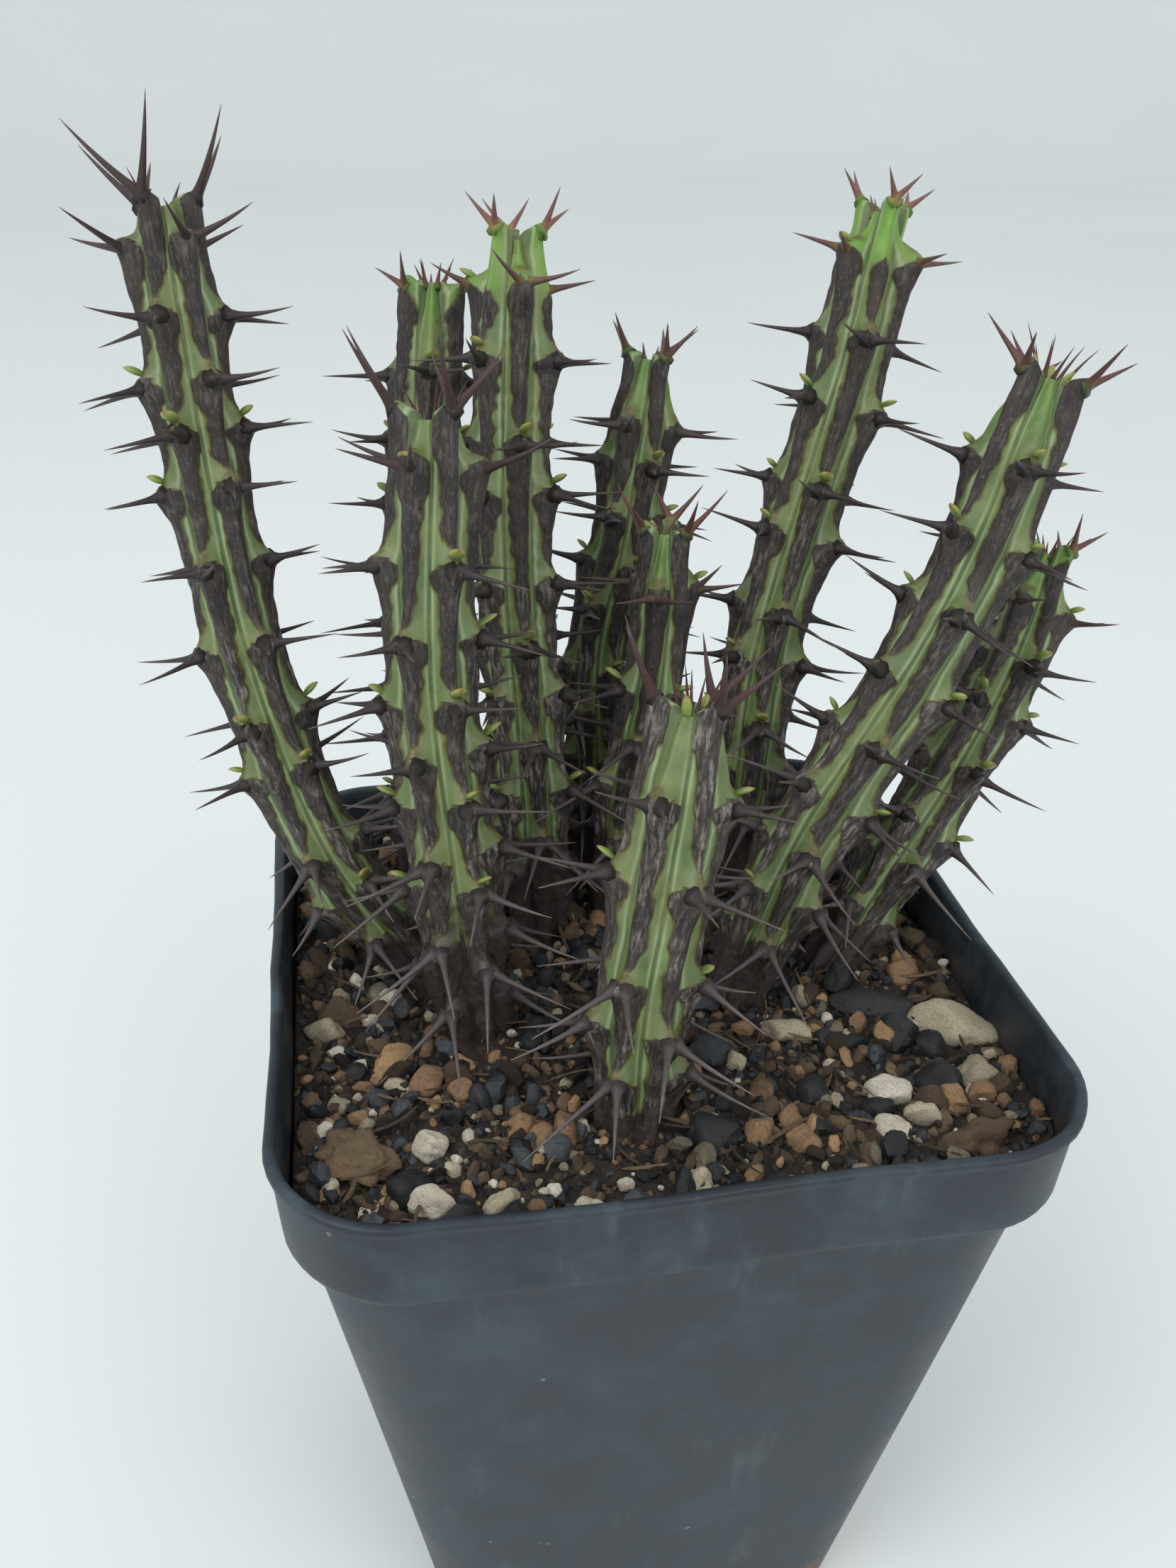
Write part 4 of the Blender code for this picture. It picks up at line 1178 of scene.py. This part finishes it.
# Each pebble: kind of stone, its colour tone, its roughness of form and its turn in degrees.
PEBBLES = {
    "pebble_cream_right": ("pumice", 0.62, 0.05, -38.0),
    "pebble_cream_corner": ("pumice", 0.40, 0.06, 40.0),
    "pebble_white_right": ("pumice", 0.92, 0.05, 10.0),
    "pebble_cream_middle": ("pumice", 0.62, 0.07, -20.0),
    "pebble_white_low": ("pumice", 0.80, 0.08, 25.0),
    "pebble_tan_front": ("akadama", 0.80, 0.06, 60.0),
    "pebble_orange_left": ("akadama", 0.75, 0.05, 15.0),
    "pebble_orange_front": ("akadama", 0.80, 0.05, 70.0),
    "pebble_white_front": ("pumice", 0.85, 0.08, -15.0),
    "pebble_cream_front": ("pumice", 0.65, 0.08, 35.0),
    "pebble_white_left": ("pumice", 0.85, 0.09, 80.0),
    "pebble_cream_far_left": ("pumice", 0.45, 0.05, 5.0),
    "pebble_red_clump": ("akadama", 0.35, 0.16, 12.0),
    "pebble_moss_clump": ("crumb", 0.95, 0.20, -30.0),
    "pebble_dark_slab": ("charcoal", 0.55, 0.03, -8.0),
    "pebble_tan_back": ("akadama", 0.80, 0.06, 30.0),
}


def build_pebbles(materials):
    """Faceted porous stones in the places of the part's pebbles."""
    directions, faces = ball(4)
    spots = []
    for seed, (name, design) in enumerate(PEBBLES.items()):
        kind, tone, lumps, degrees = design
        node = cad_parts[name]
        corners = np.array([vertex.co[:] for vertex in node.data.vertices])
        centre = (corners.max(axis=0) + corners.min(axis=0)) / 2
        turn = math.radians(degrees)
        spin = np.array(((math.cos(turn), -math.sin(turn), 0.0),
                         (math.sin(turn), math.cos(turn), 0.0), (0.0, 0.0, 1.0)))
        half = np.abs((corners - centre) @ spin).max(axis=0)
        rng = np.random.default_rng(500 + seed)
        radius = facet_radius(directions, rng, 8, 14.0) * 1.10
        radius += ripples(directions, 0.9, seed + 40) * lumps
        radius += ripples(directions, 0.25, seed + 70) * lumps * 0.35
        shape = directions * radius[:, None] * half
        skin = Skin("tone")
        skin.add(shape @ spin.T + centre, faces, 0, tone=tone)
        item = skin.build(name + "_stone", [materials[kind]])
        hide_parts(name)
        spots.append((centre[0], centre[1], max(half[0], half[1]) * 0.85))
    return np.array(spots)


def build_ground():
    """Soil, pebbles, grains and fibres."""
    materials = stone_materials()
    materials["soil"] = soil_material()
    build_soil(materials)
    spots = build_pebbles(materials)
    feet = [(design[5][0][0] / 100 * soil_half(), design[5][0][1] / 100 * soil_half(),
             design[0] * MM * FOOT_RATIO) for design in STEMS.values()]
    spots = np.concatenate((spots, np.array(feet)))
    piles = scatter_grains(spots)
    build_fibres(piles["crumb"], np.random.default_rng(77))
    for kind, pile in piles.items():
        item = pile.build("grains_" + kind, [materials[kind]], math.radians(32.0))


# ---------------------------------------------------------------- studio

STUDIO_HALF_WIDTH = 20.0
STUDIO_FRONT = -20.0
STUDIO_BACK = 2.0             # where the floor starts to sweep up
SWEEP_RADIUS = 1.0
BACKDROP_HEIGHT = 5.0


def build_studio():
    """Pale floor with a backdrop and soft lights."""
    paint = Paint("studio_paper", 0.9)
    mesh = bpy.data.meshes.new("studio_floor")
    work = bmesh.new()
    profile = [(STUDIO_FRONT, 0.0), (STUDIO_BACK, 0.0)]
    for step in range(1, 25):
        angle = math.radians(90.0 * step / 24)
        profile.append((STUDIO_BACK + SWEEP_RADIUS * math.sin(angle),
                        SWEEP_RADIUS * (1.0 - math.cos(angle))))
    profile.append((STUDIO_BACK + SWEEP_RADIUS, BACKDROP_HEIGHT))
    rows = []
    for along, height in profile:
        rows.append([work.verts.new((x, along, height))
                     for x in (-STUDIO_HALF_WIDTH, STUDIO_HALF_WIDTH)])
    for first, second in zip(rows, rows[1:]):
        work.faces.new((first[0], first[1], second[1], second[0]))
    work.to_mesh(mesh)
    work.free()
    mesh.shade_smooth()
    floor = put("studio_floor", mesh)
    tone = paint.ramp(paint.noise(paint.place(), 3.0, 2.0), (0.3, "e6eced"), (0.7, "e9efef"))
    mesh.materials.append(paint.finish(tone))

    world = bpy.data.worlds.new("studio_world")
    bpy.context.scene.world = world
    world.use_nodes = True
    sky = world.node_tree.nodes["Background"]
    sky.inputs["Color"].default_value = (0.97, 0.98, 0.985, 1.0)
    sky.inputs["Strength"].default_value = 0.84

    def lamp(name, place, size, power):
        light = bpy.data.lights.new(name, "AREA")
        light.shape = "DISK"
        light.size = size
        light.energy = power
        item = put(name, light)
        item.location = place
        aim = Vector((0.0, 0.0, POT_HEIGHT)) - Vector(place)
        item.rotation_euler = aim.to_track_quat("-Z", "Y").to_euler()

    lamp("softbox_left", (-0.55, -0.35, 0.85), 0.6, 3.2)
    lamp("softbox_front", (0.35, -0.7, 0.75), 0.6, 1.8)


def build_camera():
    """Camera that looks down on the plant from the front."""
    azimuth = -0.18254
    elevation = 0.50111
    roll = 0.01902
    place = (-0.0324, -0.1428, 0.2020)
    back = Vector((math.sin(azimuth) * math.cos(elevation),
                   -math.cos(azimuth) * math.cos(elevation),
                   math.sin(elevation)))
    side = Vector((0.0, 0.0, 1.0)).cross(back).normalized()
    up = back.cross(side)
    turned_side = side * math.cos(roll) + up * math.sin(roll)
    turned_up = up * math.cos(roll) - side * math.sin(roll)
    data = bpy.data.cameras.new("camera")
    data.sensor_width = 36.0
    data.sensor_fit = "AUTO"
    data.lens = 31.98
    data.clip_start = 0.01
    item = put("camera", data)
    turn = Matrix((turned_side, turned_up, back)).transposed().to_4x4()
    item.matrix_world = Matrix.Translation(place) @ turn
    bpy.context.scene.camera = item
    bpy.context.scene.view_settings.view_transform = "Standard"


build_pot()
build_ground()
build_stems()
build_studio()
build_camera()
